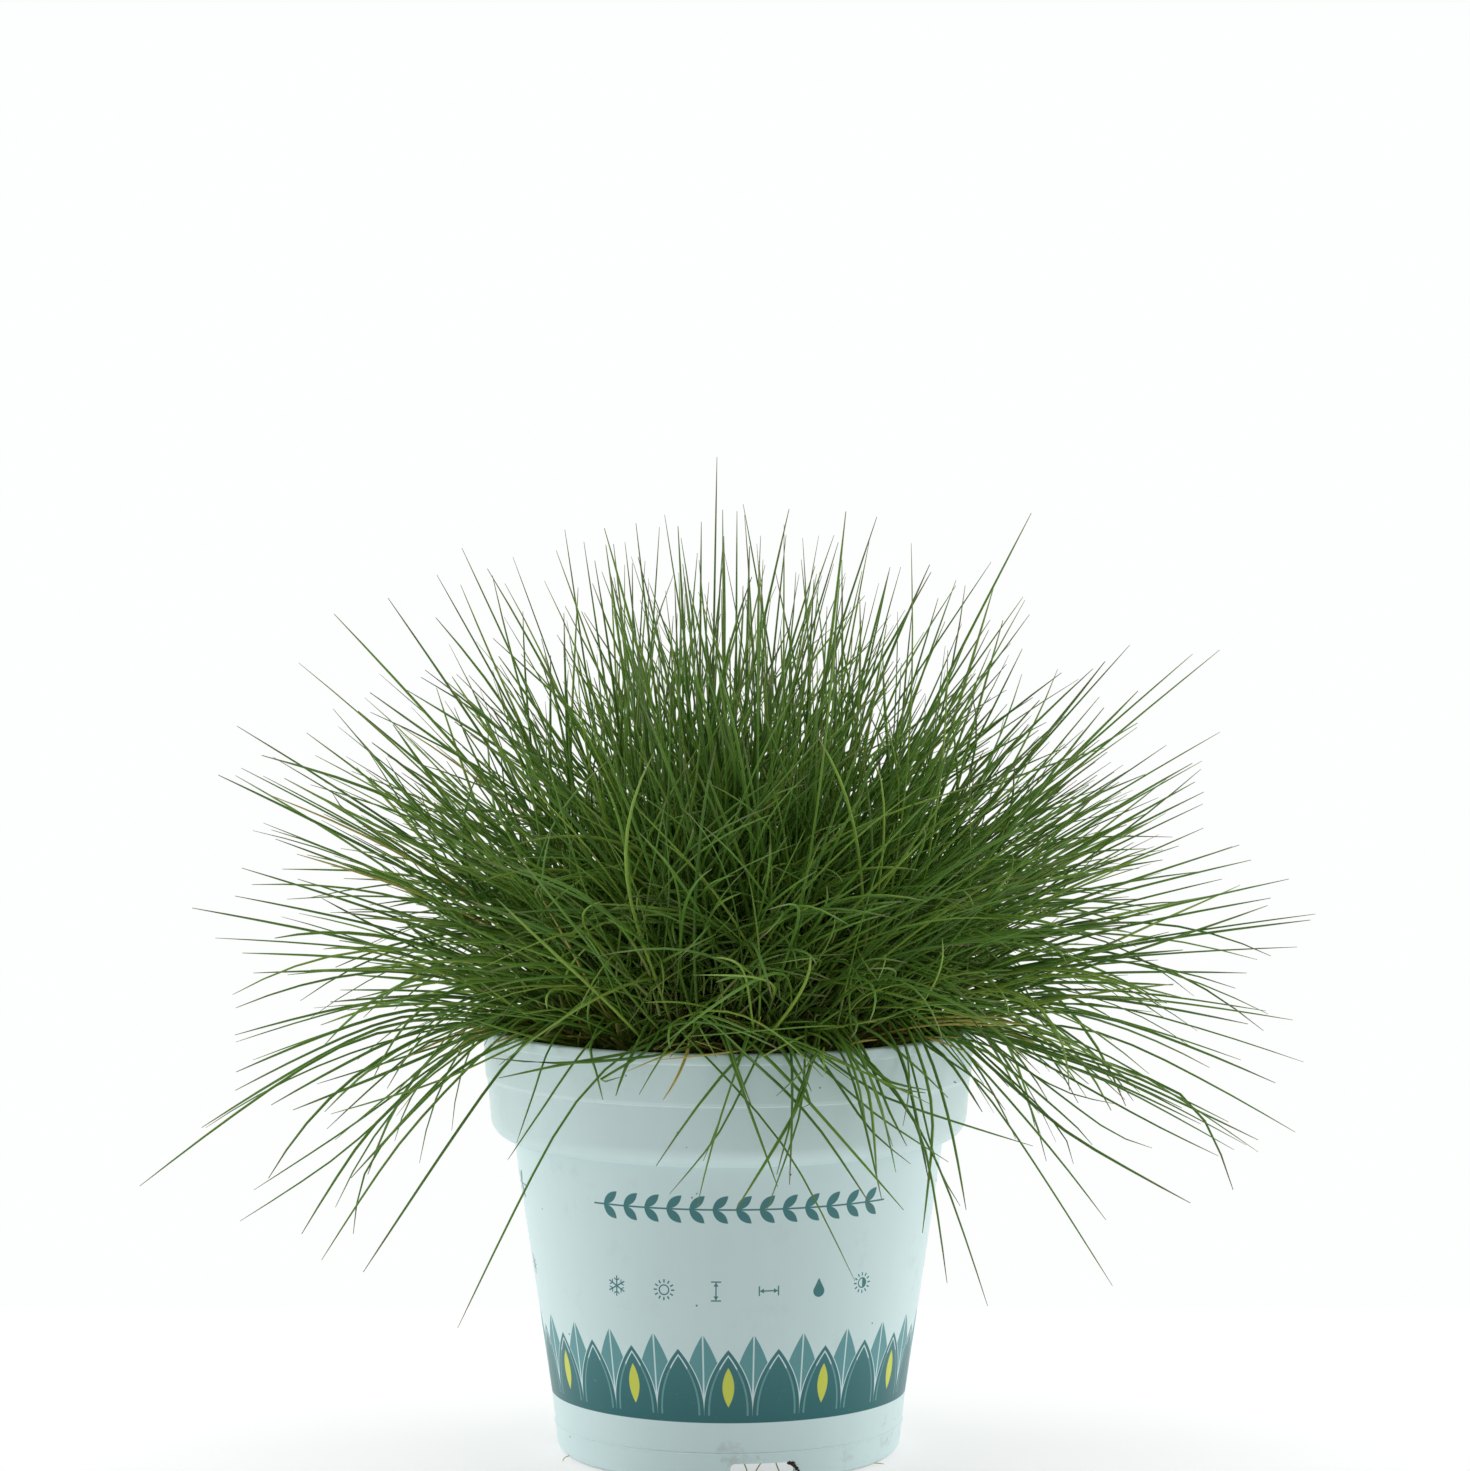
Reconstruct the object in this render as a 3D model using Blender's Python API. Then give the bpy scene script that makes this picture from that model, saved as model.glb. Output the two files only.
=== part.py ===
"""A potted fescue: a nursery pot, the potting soil in it, and a tussock of stiff needle leaves.

Lengths are in metres and +Z is up. The origin is on the floor, under the middle of the pot.
The front of the pot faces -Y. Azimuths turn from -Y towards +X.
"""

import math
import random

import bmesh
import bpy
from mathutils import Vector

MM = 0.001
GAP = 0.35 * MM

# Pot
POT_HEIGHT = 113.9 * MM
RIM_RADIUS = 65 * MM
RIM_WIDTH = 3.1 * MM
LIP_HEIGHT = 2.6 * MM
LIP_PROUD = 0.35 * MM
STEP_HEIGHT = 100.6 * MM
STEP_PROUD = 0.35 * MM
COLLAR_FOOT = 91.2 * MM
COLLAR_FOOT_RADIUS = 63.1 * MM
COLLAR_ROUNDING = 5.8 * MM
COLLAR_ROUNDING_START = math.radians(-72)
LEDGE_HEIGHT = 87.3 * MM
LEDGE_RADIUS = 60 * MM
WALL_TOP = 83.1 * MM
WALL_TOP_RADIUS = 57.0 * MM
WALL_FOOT = 16.5 * MM
WALL_FOOT_RADIUS = 47.1 * MM
WALL = 1.0 * MM
RIM_EDGE = 0.7 * MM
FOOT_RADIUS = 45.7 * MM
FOOT_ROUNDING = 3.6 * MM
FOOT_ROUNDING_WIDTH = 3.4 * MM
FOOT_RING_WIDTH = 1.9 * MM
BASE_RAISED = 6.4 * MM
POT_SIDES = 60

# Drainage: notches through the foot ring, and holes through the base behind and between them
NOTCHES = 3
NOTCH_WIDTH = 17.4 * MM
NOTCH_HEIGHT = 5.6 * MM
NOTCH_ROUNDING = 1.2 * MM
NOTCH_INNER_RADIUS = 39 * MM
FIRST_NOTCH = math.radians(11.6)
HOLES = 6
HOLE_RADIUS = 4 * MM
HOLE_DISTANCE = 34 * MM
HOLE_SIDES = 8
CUT_CLEAR = 5 * MM

# Soil
SOIL_TOP = 106.9 * MM
SOIL_SLUMP = 1.5 * MM
SOIL_HEAP = 0.8 * MM
SOIL_LUMPS = 1.3 * MM
SOIL_SIDES = 32
CROWN_RECESS = 3.5 * MM

# Crown, the clump of shoot bases that the leaves grow from
CROWN_RADIUS = 47 * MM
CROWN_EDGE = 109.9 * MM
CROWN_RISE = 9 * MM
CROWN_SIDES = 24
CROWN_RINGS = (1, 0.82, 0.62, 0.4, 0.2)

# Leaf tufts. Tilts are from straight up.
TUFTS = 50
LEAVES_PER_TUFT = 5
LEAF_STEPS = 4
LEAF_WIDTH = 2.8 * MM
SHORTEST_SHARE = 0.78
LEAF_TAPER = 0.6
SHEATH_WIDTH = 4.2 * MM
SHEATH_LENGTH = 4 * MM
OUTERMOST_START = 0.95
LONGEST_LEAF = 152 * MM
SHORTEST_LEAF = 128 * MM
TUFT_SPREAD = 23 * MM
SPREAD_POWER = 1.5
LOWEST_TILT = math.radians(117)
TILT_POWER = 3
START_SHARE = 0.44
BEND_POWER = 2.2
GOLDEN_ANGLE = math.radians(137.508)
SEED = 7
SPREAD_X = 157 * MM
SPREAD_Y = 154 * MM
PLANT_TOP = 263.9 * MM

PALE_PLASTIC = ((0.60, 0.76, 0.74), 0.42)
DARK_SOIL = ((0.035, 0.022, 0.014), 0.95)
STRAW = ((0.30, 0.24, 0.10), 0.8)
LEAF_GREEN = ((0.08, 0.18, 0.02), 0.5)


def clear_scene():
    for obj in list(bpy.data.objects):
        bpy.data.objects.remove(obj)


def finish_of(name, look):
    colour, roughness = look
    material = bpy.data.materials.new(name)
    material.use_nodes = True
    shader = material.node_tree.nodes["Principled BSDF"]
    shader.inputs["Base Color"].default_value = (*colour, 1)
    shader.inputs["Roughness"].default_value = roughness
    shader.inputs["Metallic"].default_value = 0
    return material


def new_object(name, mesh, material=None):
    obj = bpy.data.objects.new(name, mesh)
    bpy.context.scene.collection.objects.link(obj)
    if material:
        mesh.materials.append(material)
    return obj


def object_from_bmesh(name, bm, material):
    mesh = bpy.data.meshes.new(name)
    bm.to_mesh(mesh)
    bm.free()
    return new_object(name, mesh, material)


def arc(centre, radii, start, end, steps):
    """Points on a stretch of an ellipse with a level and an upright radius, ends included."""
    angles = [start + (end - start) * i / steps for i in range(steps + 1)]
    return [(centre[0] + radii[0] * math.cos(a), centre[1] + radii[1] * math.sin(a)) for a in angles]


def collar_radius(height):
    """Outer radius of the collar, which widens from its foot to the lip."""
    share = (height - COLLAR_FOOT) / (POT_HEIGHT - LIP_HEIGHT - COLLAR_FOOT)
    return COLLAR_FOOT_RADIUS + share * (RIM_RADIUS - COLLAR_FOOT_RADIUS)


def foot_profile():
    """From the middle of the underside, over the foot ring, to the foot of the wall."""
    ring_outer = FOOT_RADIUS - FOOT_ROUNDING_WIDTH
    rounded = arc((ring_outer, FOOT_ROUNDING), (FOOT_ROUNDING_WIDTH, FOOT_ROUNDING), -math.pi / 2, 0, 2)
    return [
        (0, BASE_RAISED),
        (FOOT_RADIUS - FOOT_RING_WIDTH, BASE_RAISED),
        (ring_outer - FOOT_RING_WIDTH, 0),
        *rounded,
        (WALL_FOOT_RADIUS, WALL_FOOT),
        (WALL_TOP_RADIUS, WALL_TOP),
    ]


def collar_profile():
    """Out round the foot of the collar, up over its small step to the lip, and over the rim."""
    radii = (COLLAR_FOOT_RADIUS - WALL_TOP_RADIUS, COLLAR_ROUNDING)
    rounded = arc((WALL_TOP_RADIUS, COLLAR_FOOT), radii, COLLAR_ROUNDING_START, 0, 3)
    step_out = [
        (collar_radius(STEP_HEIGHT), STEP_HEIGHT - STEP_PROUD),
        (collar_radius(STEP_HEIGHT) + STEP_PROUD, STEP_HEIGHT),
    ]
    lip_foot = POT_HEIGHT - LIP_HEIGHT
    lip_radius = RIM_RADIUS + LIP_PROUD
    lip = [
        (RIM_RADIUS, lip_foot),
        (lip_radius, lip_foot + LIP_PROUD),
        (lip_radius, POT_HEIGHT - RIM_EDGE),
        (lip_radius - RIM_EDGE, POT_HEIGHT),
        (lip_radius - RIM_WIDTH, POT_HEIGHT),
    ]
    return [*rounded, *step_out, *lip]


def inner_profile(inset):
    """Down the inside, from the foot of the collar to the middle of the base, inset from the pot's outside."""
    return [
        (COLLAR_FOOT_RADIUS - inset, COLLAR_FOOT),
        (LEDGE_RADIUS - inset, LEDGE_HEIGHT),
        (WALL_TOP_RADIUS - inset, WALL_TOP),
        (WALL_FOOT_RADIUS - inset, WALL_FOOT),
        (FOOT_RADIUS - inset, BASE_RAISED + inset),
        (0, BASE_RAISED + inset),
    ]


def turned(name, profile, sides, material):
    """A profile of (radius, height) points turned round +Z. It starts and ends on the axis."""
    bm = bmesh.new()
    points = [bm.verts.new((r, 0, z)) for r, z in profile]
    edges = [bm.edges.new(pair) for pair in zip(points, points[1:])]
    bmesh.ops.spin(
        bm,
        geom=points + edges,
        axis=(0, 0, 1),
        cent=(0, 0, 0),
        steps=sides,
        angle=math.tau,
        use_merge=True,
    )
    bmesh.ops.remove_doubles(bm, verts=bm.verts, dist=0.01 * MM)
    bmesh.ops.recalc_face_normals(bm, faces=bm.faces)
    obj = object_from_bmesh(name, bm, material)
    obj.data.shade_smooth()
    obj.data.set_sharp_from_angle(angle=math.radians(35))
    return obj


def outward(azimuth):
    return Vector((math.sin(azimuth), -math.cos(azimuth), 0))


def sideways(azimuth):
    return Vector((math.cos(azimuth), math.sin(azimuth), 0))


def add_prism(bm, points, depth):
    """A closed prism: the face through these points, and the same face moved by depth."""
    face = bm.faces.new([bm.verts.new(point) for point in points])
    moved = bmesh.ops.extrude_face_region(bm, geom=[face])["geom"]
    verts = [v for v in moved if isinstance(v, bmesh.types.BMVert)]
    bmesh.ops.translate(bm, verts=verts, vec=depth)


def notch_outline():
    """The notch's round-topped outline, as (sideways, height) points."""
    half = NOTCH_WIDTH / 2
    centre = (half - NOTCH_ROUNDING, NOTCH_HEIGHT - NOTCH_ROUNDING)
    right = arc(centre, (NOTCH_ROUNDING, NOTCH_ROUNDING), 0, math.pi / 2, 2)
    left = [(-x, z) for x, z in reversed(right)]
    return [(half, -CUT_CLEAR), *right, *left, (-half, -CUT_CLEAR)]


def cut_drainage(pot):
    """Where water drains out: notches through the foot ring, and holes through the base."""
    bm = bmesh.new()
    up = Vector((0, 0, 1))
    for i in range(NOTCHES):
        azimuth = FIRST_NOTCH + math.tau * i / NOTCHES
        out = outward(azimuth)
        notch = [out * NOTCH_INNER_RADIUS + sideways(azimuth) * x + up * z for x, z in notch_outline()]
        add_prism(bm, notch, out * (FOOT_RADIUS + CUT_CLEAR - NOTCH_INNER_RADIUS))
    for i in range(HOLES):
        middle = outward(FIRST_NOTCH + math.tau * i / HOLES) * HOLE_DISTANCE + up * (BASE_RAISED - CUT_CLEAR)
        hole = [middle + outward(math.tau * k / HOLE_SIDES) * HOLE_RADIUS for k in range(HOLE_SIDES)]
        add_prism(bm, hole, up * (CUT_CLEAR + WALL + CUT_CLEAR))
    bmesh.ops.recalc_face_normals(bm, faces=bm.faces)
    cutter = object_from_bmesh("drainage_cutter", bm, None)
    cutter.hide_render = True
    cutter.display_type = "WIRE"
    cut = pot.modifiers.new("drainage", "BOOLEAN")
    cut.operation = "DIFFERENCE"
    cut.solver = "EXACT"
    cut.object = cutter


def add_pot():
    profile = [*foot_profile(), *collar_profile(), *inner_profile(WALL)]
    pot = turned("pot", profile, POT_SIDES, finish_of("pale plastic", PALE_PLASTIC))
    cut_drainage(pot)


def lump(x, y):
    """A smooth bumpiness of the soil, from -1 to 1."""
    across = math.sin(x / (6.1 * MM)) * math.cos(y / (7.3 * MM))
    slanting = math.sin((x + 2 * y) / (4.3 * MM))
    return 0.6 * across + 0.4 * slanting


def add_soil():
    """The root ball fills the pot with a small gap, and has a recess that the crown sits in."""
    recess = CROWN_RADIUS + GAP
    edge = COLLAR_FOOT_RADIUS - WALL - GAP
    top = [
        (0, SOIL_TOP - CROWN_RECESS),
        (recess, SOIL_TOP - CROWN_RECESS),
        (recess, SOIL_TOP),
        ((edge + recess) / 2, SOIL_TOP + SOIL_HEAP),
        (edge - 2 * SOIL_SLUMP, SOIL_TOP),
        (edge, SOIL_TOP - SOIL_SLUMP),
    ]
    soil = turned("soil", [*top, *inner_profile(WALL + GAP)], SOIL_SIDES, finish_of("potting soil", DARK_SOIL))
    for vertex in soil.data.vertices:
        beyond_crown = math.hypot(vertex.co.x, vertex.co.y) > recess + GAP
        if beyond_crown and vertex.co.z > SOIL_TOP - GAP:
            vertex.co.z += SOIL_LUMPS * lump(vertex.co.x, vertex.co.y)


def crown_height(radius):
    """Height of the crown's domed top at this distance from the middle."""
    return CROWN_EDGE + CROWN_RISE * (1 - (radius / CROWN_RADIUS) ** 2)


def add_crown():
    foot = SOIL_TOP - CROWN_RECESS + GAP
    dome = [(CROWN_RADIUS * share, crown_height(CROWN_RADIUS * share)) for share in CROWN_RINGS]
    profile = [(0, foot), (CROWN_RADIUS, foot), *dome, (0, crown_height(0))]
    turned("crown", profile, CROWN_SIDES, finish_of("shoot bases", STRAW))


class LeafLine:
    """The curved middle line of a tuft, from the crown to the tips. share is 0 mid-crown, 1 at its edge."""

    def __init__(self, share, azimuth, twist):
        mean_tilt = math.acos(1 - (1 - math.cos(LOWEST_TILT)) * share**TILT_POWER)
        bent_share = 1 - 1 / (BEND_POWER + 1)
        self.start_tilt = START_SHARE * mean_tilt
        self.end_tilt = self.start_tilt + (mean_tilt - self.start_tilt) / bent_share
        self.start_radius = CROWN_RADIUS * share * OUTERMOST_START
        self.length = LONGEST_LEAF + (SHORTEST_LEAF - LONGEST_LEAF) * share
        self.sheath = SHEATH_LENGTH / self.length
        self.twist = twist
        self.out = outward(azimuth)
        self.across = sideways(azimuth)

    def tilt(self, t):
        return self.start_tilt + (self.end_tilt - self.start_tilt) * (1 - (1 - t) ** BEND_POWER)

    def direction(self, t):
        return self.out * math.sin(self.tilt(t)) + Vector((0, 0, math.cos(self.tilt(t))))

    def upper_side(self, t):
        """The way from the line towards its upper side, square to it."""
        return Vector((0, 0, math.sin(self.tilt(t)))) - self.out * math.cos(self.tilt(t))

    def side(self, t, corner):
        """The way from the line towards one of the tuft's corners, numbered from 0. A half is between two."""
        angle = self.twist + math.tau * corner / LEAVES_PER_TUFT
        return math.cos(angle) * self.upper_side(t) + math.sin(angle) * self.across

    def root(self):
        """On the dome, raised for the lower corner of the sheath to clear it."""
        lift = GAP + SHEATH_WIDTH / 2 * math.sin(self.start_tilt)
        return self.out * self.start_radius + Vector((0, 0, crown_height(self.start_radius) + lift))

    def point(self, t, pieces=24):
        place = self.root()
        for i in range(pieces):
            place = place + self.direction(t * (i + 0.5) / pieces) * (self.length * t / pieces)
        return place


def along_leaf(line, share):
    """Where a share of a leaf's length falls on the tuft's line, which the sheath takes the start of."""
    return line.sheath + (1 - line.sheath) * share


def leaf_points(line, leaf, length_share):
    """The middle points of one leaf. It leaves its side of the sheath and draws away from the tuft's line."""
    points = []
    for step in range(LEAF_STEPS + 1):
        share = step / LEAF_STEPS * length_share
        t = along_leaf(line, share)
        away = SHEATH_WIDTH / 3 + TUFT_SPREAD * share**SPREAD_POWER
        points.append(line.point(t) + line.side(t, leaf + 0.5) * away)
    return points


def tuft_lines():
    """(line, leaf length shares) for each tuft, spread evenly over the crown in a golden-angle spiral."""
    dice = random.Random(SEED)
    found = []
    for i in range(TUFTS):
        share = math.sqrt((i + 0.5) / TUFTS)
        line = LeafLine(share, GOLDEN_ANGLE * i, dice.uniform(0, math.tau))
        found.append((line, [dice.uniform(SHORTEST_SHARE, 1) for _ in range(LEAVES_PER_TUFT)]))
    return found


def fitting(tufts):
    """A function that moves a point so that the tips reach the plant's spread on all sides, and its top."""
    tips = [leaf_points(line, leaf, share)[-1] for line, shares in tufts for leaf, share in enumerate(shares)]
    xs, ys, zs = zip(*tips)
    stretch_up = (PLANT_TOP - CROWN_EDGE) / (max(zs) - CROWN_EDGE)

    def fit(point):
        x = point.x * SPREAD_X / (max(xs) if point.x > 0 else -min(xs))
        y = point.y * SPREAD_Y / (max(ys) if point.y > 0 else -min(ys))
        above = max(0, point.z - CROWN_EDGE)
        return Vector((x, y, point.z + above * (stretch_up - 1)))

    return fit


def grow_leaf(bm, line, leaf, length_share, base, fit):
    """A leaf of three sides from its base triangle, turning with the line and thinning to a point."""
    middles = [fit(point) for point in leaf_points(line, leaf, length_share)]
    centre = sum((v.co for v in base), Vector()) / 3
    arms = [v.co - centre for v in base]
    widest = max(arm.length for arm in arms)
    upper = line.upper_side(line.sheath)
    flat_arms = [(arm.dot(upper) / widest, arm.dot(line.across) / widest) for arm in arms]
    ring = base
    for step in range(1, LEAF_STEPS):
        share = step / LEAF_STEPS
        half = LEAF_WIDTH / 2 * (1 - share) ** LEAF_TAPER
        upper = line.upper_side(along_leaf(line, share * length_share))
        after = [bm.verts.new(middles[step] + (upper * u + line.across * v) * half) for u, v in flat_arms]
        for i in range(3):
            k = (i + 1) % 3
            bm.faces.new((ring[i], ring[k], after[k], after[i]))
        ring = after
    tip = bm.verts.new(middles[-1])
    for i in range(3):
        bm.faces.new((ring[i], ring[(i + 1) % 3], tip))


def add_tuft(name, line, shares, fit, material):
    """A short five-sided sheath whose top is parted into one three-sided leaf for each side."""
    bm = bmesh.new()

    def ring(t):
        corners = range(LEAVES_PER_TUFT)
        return [bm.verts.new(fit(line.point(t) + line.side(t, i) * SHEATH_WIDTH / 2)) for i in corners]

    foot = ring(0)
    shoulder = ring(line.sheath)
    heart = bm.verts.new(fit(line.point(line.sheath)))
    bm.faces.new(list(reversed(foot)))
    for i, length_share in enumerate(shares):
        k = (i + 1) % LEAVES_PER_TUFT
        bm.faces.new((foot[i], foot[k], shoulder[k], shoulder[i]))
        grow_leaf(bm, line, i, length_share, [shoulder[i], shoulder[k], heart], fit)
    bmesh.ops.recalc_face_normals(bm, faces=bm.faces)
    object_from_bmesh(name, bm, material)


def main():
    clear_scene()
    add_pot()
    add_soil()
    add_crown()
    tufts = tuft_lines()
    fit = fitting(tufts)
    green = finish_of("leaf green", LEAF_GREEN)
    for number, (line, shares) in enumerate(tufts, start=1):
        add_tuft(f"leaf_tuft_{number:02d}", line, shares, fit, green)


main()
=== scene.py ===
"""The looks of a potted fescue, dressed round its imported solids. Lengths are in metres, +Z is up.

The front of the pot faces -Y. Azimuths turn from -Y towards +X, and tilts are from straight up.
"""
import math

import bpy
import numpy as np
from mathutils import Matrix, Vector, noise


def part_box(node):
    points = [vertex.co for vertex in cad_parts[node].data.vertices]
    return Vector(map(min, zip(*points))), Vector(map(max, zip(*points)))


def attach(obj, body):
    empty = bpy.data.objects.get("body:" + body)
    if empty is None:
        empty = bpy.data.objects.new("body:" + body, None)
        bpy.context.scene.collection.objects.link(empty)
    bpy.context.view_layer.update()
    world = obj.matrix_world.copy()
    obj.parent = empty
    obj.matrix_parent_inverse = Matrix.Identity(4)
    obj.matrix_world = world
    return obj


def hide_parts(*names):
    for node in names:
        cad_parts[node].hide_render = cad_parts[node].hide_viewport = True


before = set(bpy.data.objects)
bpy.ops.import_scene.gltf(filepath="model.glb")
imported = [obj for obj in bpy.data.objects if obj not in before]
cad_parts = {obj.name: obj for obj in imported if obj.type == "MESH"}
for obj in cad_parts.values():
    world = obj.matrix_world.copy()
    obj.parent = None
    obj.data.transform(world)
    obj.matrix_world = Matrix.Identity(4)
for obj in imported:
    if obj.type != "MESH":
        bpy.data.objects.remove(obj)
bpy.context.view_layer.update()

MM = 0.001

# The photograph's camera
IMAGE_WIDTH = 1470
IMAGE_HEIGHT = 1471
FOCAL_PIXELS = 4652
SENSOR = 36
CAMERA_PLACE = (1.7 * MM, -1228 * MM, 264.9 * MM)
CAMERA_DOWN = math.radians(3.47)

# Pot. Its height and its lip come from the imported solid
POT_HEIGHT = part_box("pot")[1].z
LIP_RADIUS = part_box("pot")[1].x
RIM_WIDTH = 3.1 * MM
RIM_EDGE = 0.7 * MM
LIP_HEIGHT = 2.6 * MM
LIP_PROUD = 0.35 * MM
STEP_HEIGHT = 100.6 * MM
STEP_PROUD = 0.35 * MM
COLLAR_FOOT = 90 * MM
COLLAR_FOOT_RADIUS = 63.1 * MM
COLLAR_ROUNDING = 5.7 * MM
LEDGE_HEIGHT = 87.3 * MM
LEDGE_RADIUS = 60 * MM
WALL_TOP = 84.3 * MM
WALL_TOP_RADIUS = 57 * MM
WALL_FOOT = 16.5 * MM
WALL_FOOT_RADIUS = 47.1 * MM
WALL = 1 * MM
FOOT_RADIUS = 45.7 * MM
FOOT_ROUNDING = 3.6 * MM
FOOT_ROUNDING_WIDTH = 3.4 * MM
FOOT_RING_WIDTH = 1.9 * MM
FOOT_LINE = 8.3 * MM
BASE_RAISED = 6.4 * MM
POT_SIDES = 192
NOTCHES = 3
NOTCH_WIDTH = 17.4 * MM
NOTCH_HEIGHT = 5.6 * MM
NOTCH_ROUNDING = 1.2 * MM
NOTCH_INNER = 39 * MM
NOTCH_DEPTH = 14 * MM
FIRST_NOTCH = math.radians(11.6)
HOLES = 6
HOLE_RADIUS = 4 * MM
HOLE_DISTANCE = 34 * MM
INSIDE_RADIUS = 44.8 * MM

# Print on the pot's wall
PRINT_SOFT = 0.08 * MM
PANELS = 3
PANEL_TURN = math.radians(4)
PETALS = 24
BORDER_STRIP = 2 * MM
FRONT_PETAL = 17.5 * MM
BACK_PETAL = 21.5 * MM
GARLAND_HEIGHT = 73 * MM
GARLAND_STEP = 6 * MM
GARLAND_SLANT = math.radians(42)
SIGNS_HEIGHT = 51.5 * MM
SIGN_PITCH = 13.6 * MM
SIGN_LINE = 0.35 * MM

# Soil and crown
SOIL_TOP = 106.9 * MM
SOIL_GAP = 0.35 * MM
SOIL_STEP = 1.4 * MM
CROWN_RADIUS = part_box("crown")[1].x
CROWN_EDGE = 109.9 * MM
CROWN_RISE = 9 * MM
CROWN_FOOT = SOIL_TOP - 3.1 * MM
CRUMBS = 2600
CHIPS = 260
SHOOTS = 900

# Dirt stuck to the pot: x, y, z and size in mm
SPECKS = (
    (-4.9, -64.1, 104.1, 0.30), (-12.7, -62.2, 93.7, 0.32), (15.8, -54.6, 81.9, 0.26),
    (58.6, -26.8, 101.9, 0.26), (59.1, -25.9, 101.6, 0.20), (-8.0, -55.6, 77.2, 0.16),
    (15.7, -42.9, 5.3, 0.62), (16.5, -42.7, 5.1, 0.75), (17.0, -42.4, 4.4, 0.55),
    (17.6, -42.2, 3.7, 0.60), (18.1, -42.0, 2.9, 0.45), (-32.6, -28.8, 1.0, 0.50),
    (-33.4, -28.0, 1.1, 0.35), (-26.0, -35.8, 1.8, 0.38), (36.5, -23.3, 0.8, 0.42),
    (37.4, -22.3, 0.8, 0.34),
)
# Roots that come out under the pot: start, middle and end, each x, y, z in mm
ROOTS = (
    (3.2, -41.0, 6.0, 5.4, -46.5, 4.4, 5.2, -50.0, 0.4),
    (9.2, -41.0, 6.0, 7.4, -45.5, 4.6, 5.0, -48.0, 0.4),
    (12.0, -40.0, 6.0, 12.5, -44.0, 3.0, 16.0, -49.0, 0.4),
    (-39.0, -14.0, 0.6, -43.4, -15.2, 1.8, -43.6, -18.6, 0.3),
    (35.6, -22.0, 0.6, 38.4, -23.0, 1.0, 41.0, -21.6, 0.3),
)

# Leaves
TUFTS = 50
SHEATHS_PER_TUFT = 100
LEAVES_PER_SHEATH = 1.62
DRY_SHARE = 0.003
YOUNG_SHARE = 0.46
YOUNG_LENGTHS = (0.42, 0.86)
YOUNG_LOWEST_TILT = math.radians(78)
YOUNG_SPREAD = 0.9
SHEATH_SPREAD = 0.4
FORK_SHARE = 0.5
TUFT_SPREAD = 0.55
LEAF_WIDTH = 0.92 * MM
LEAF_FLATNESS = 0.72
LEAF_FOOT_WIDTH = 0.72
LEAF_TIP_WIDTH = 0.22
RINGS = 12
SUBSTEPS = 4
LOWEST_TILT = math.radians(117)
LOWEST_MEAN = math.radians(116)
# Leaves thin out round this tilt, in degrees
EDGE_TILT = 77
EDGE_SOFT = math.radians(5)
TILT_POWER = 3
BEND_POWER = 1.4
BENT_SHARE = 1 - 1 / (BEND_POWER + 1)
LONGEST_LEAF = 146 * MM
OUTER_LEAF = 128 * MM
GOLDEN_ANGLE = math.radians(137.508)
RIM_CLEARANCE = 0.8 * MM
# How much the leaves of a sheath sway alike, and how much each by itself
SHARED_SWAY = 0.85
OWN_SWAY = 0.53
START_SWAY = 0.05
END_SWAY = 0.3
SWING = 0.65
WOBBLE = 0.045
# Where leaves stand more or less thickly: a direction's tilt and heading and its reach, in degrees, and how
# many more there are
BUNCHES = (
    ((3, -90), 7, 3.2), ((19, -90), 10, -1.1), ((60, 0), 25, -0.12), ((13, 90), 12, -0.8),
    ((41, -90), 9, 1.2), ((64, -90), 11, -0.9), ((92, -90), 7, 0.15), ((84, 40), 14, 0.1),
    ((50, 90), 12, 2.3), ((77, 90), 9, 0.6),
)
LOW_LEAVES = 210
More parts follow.
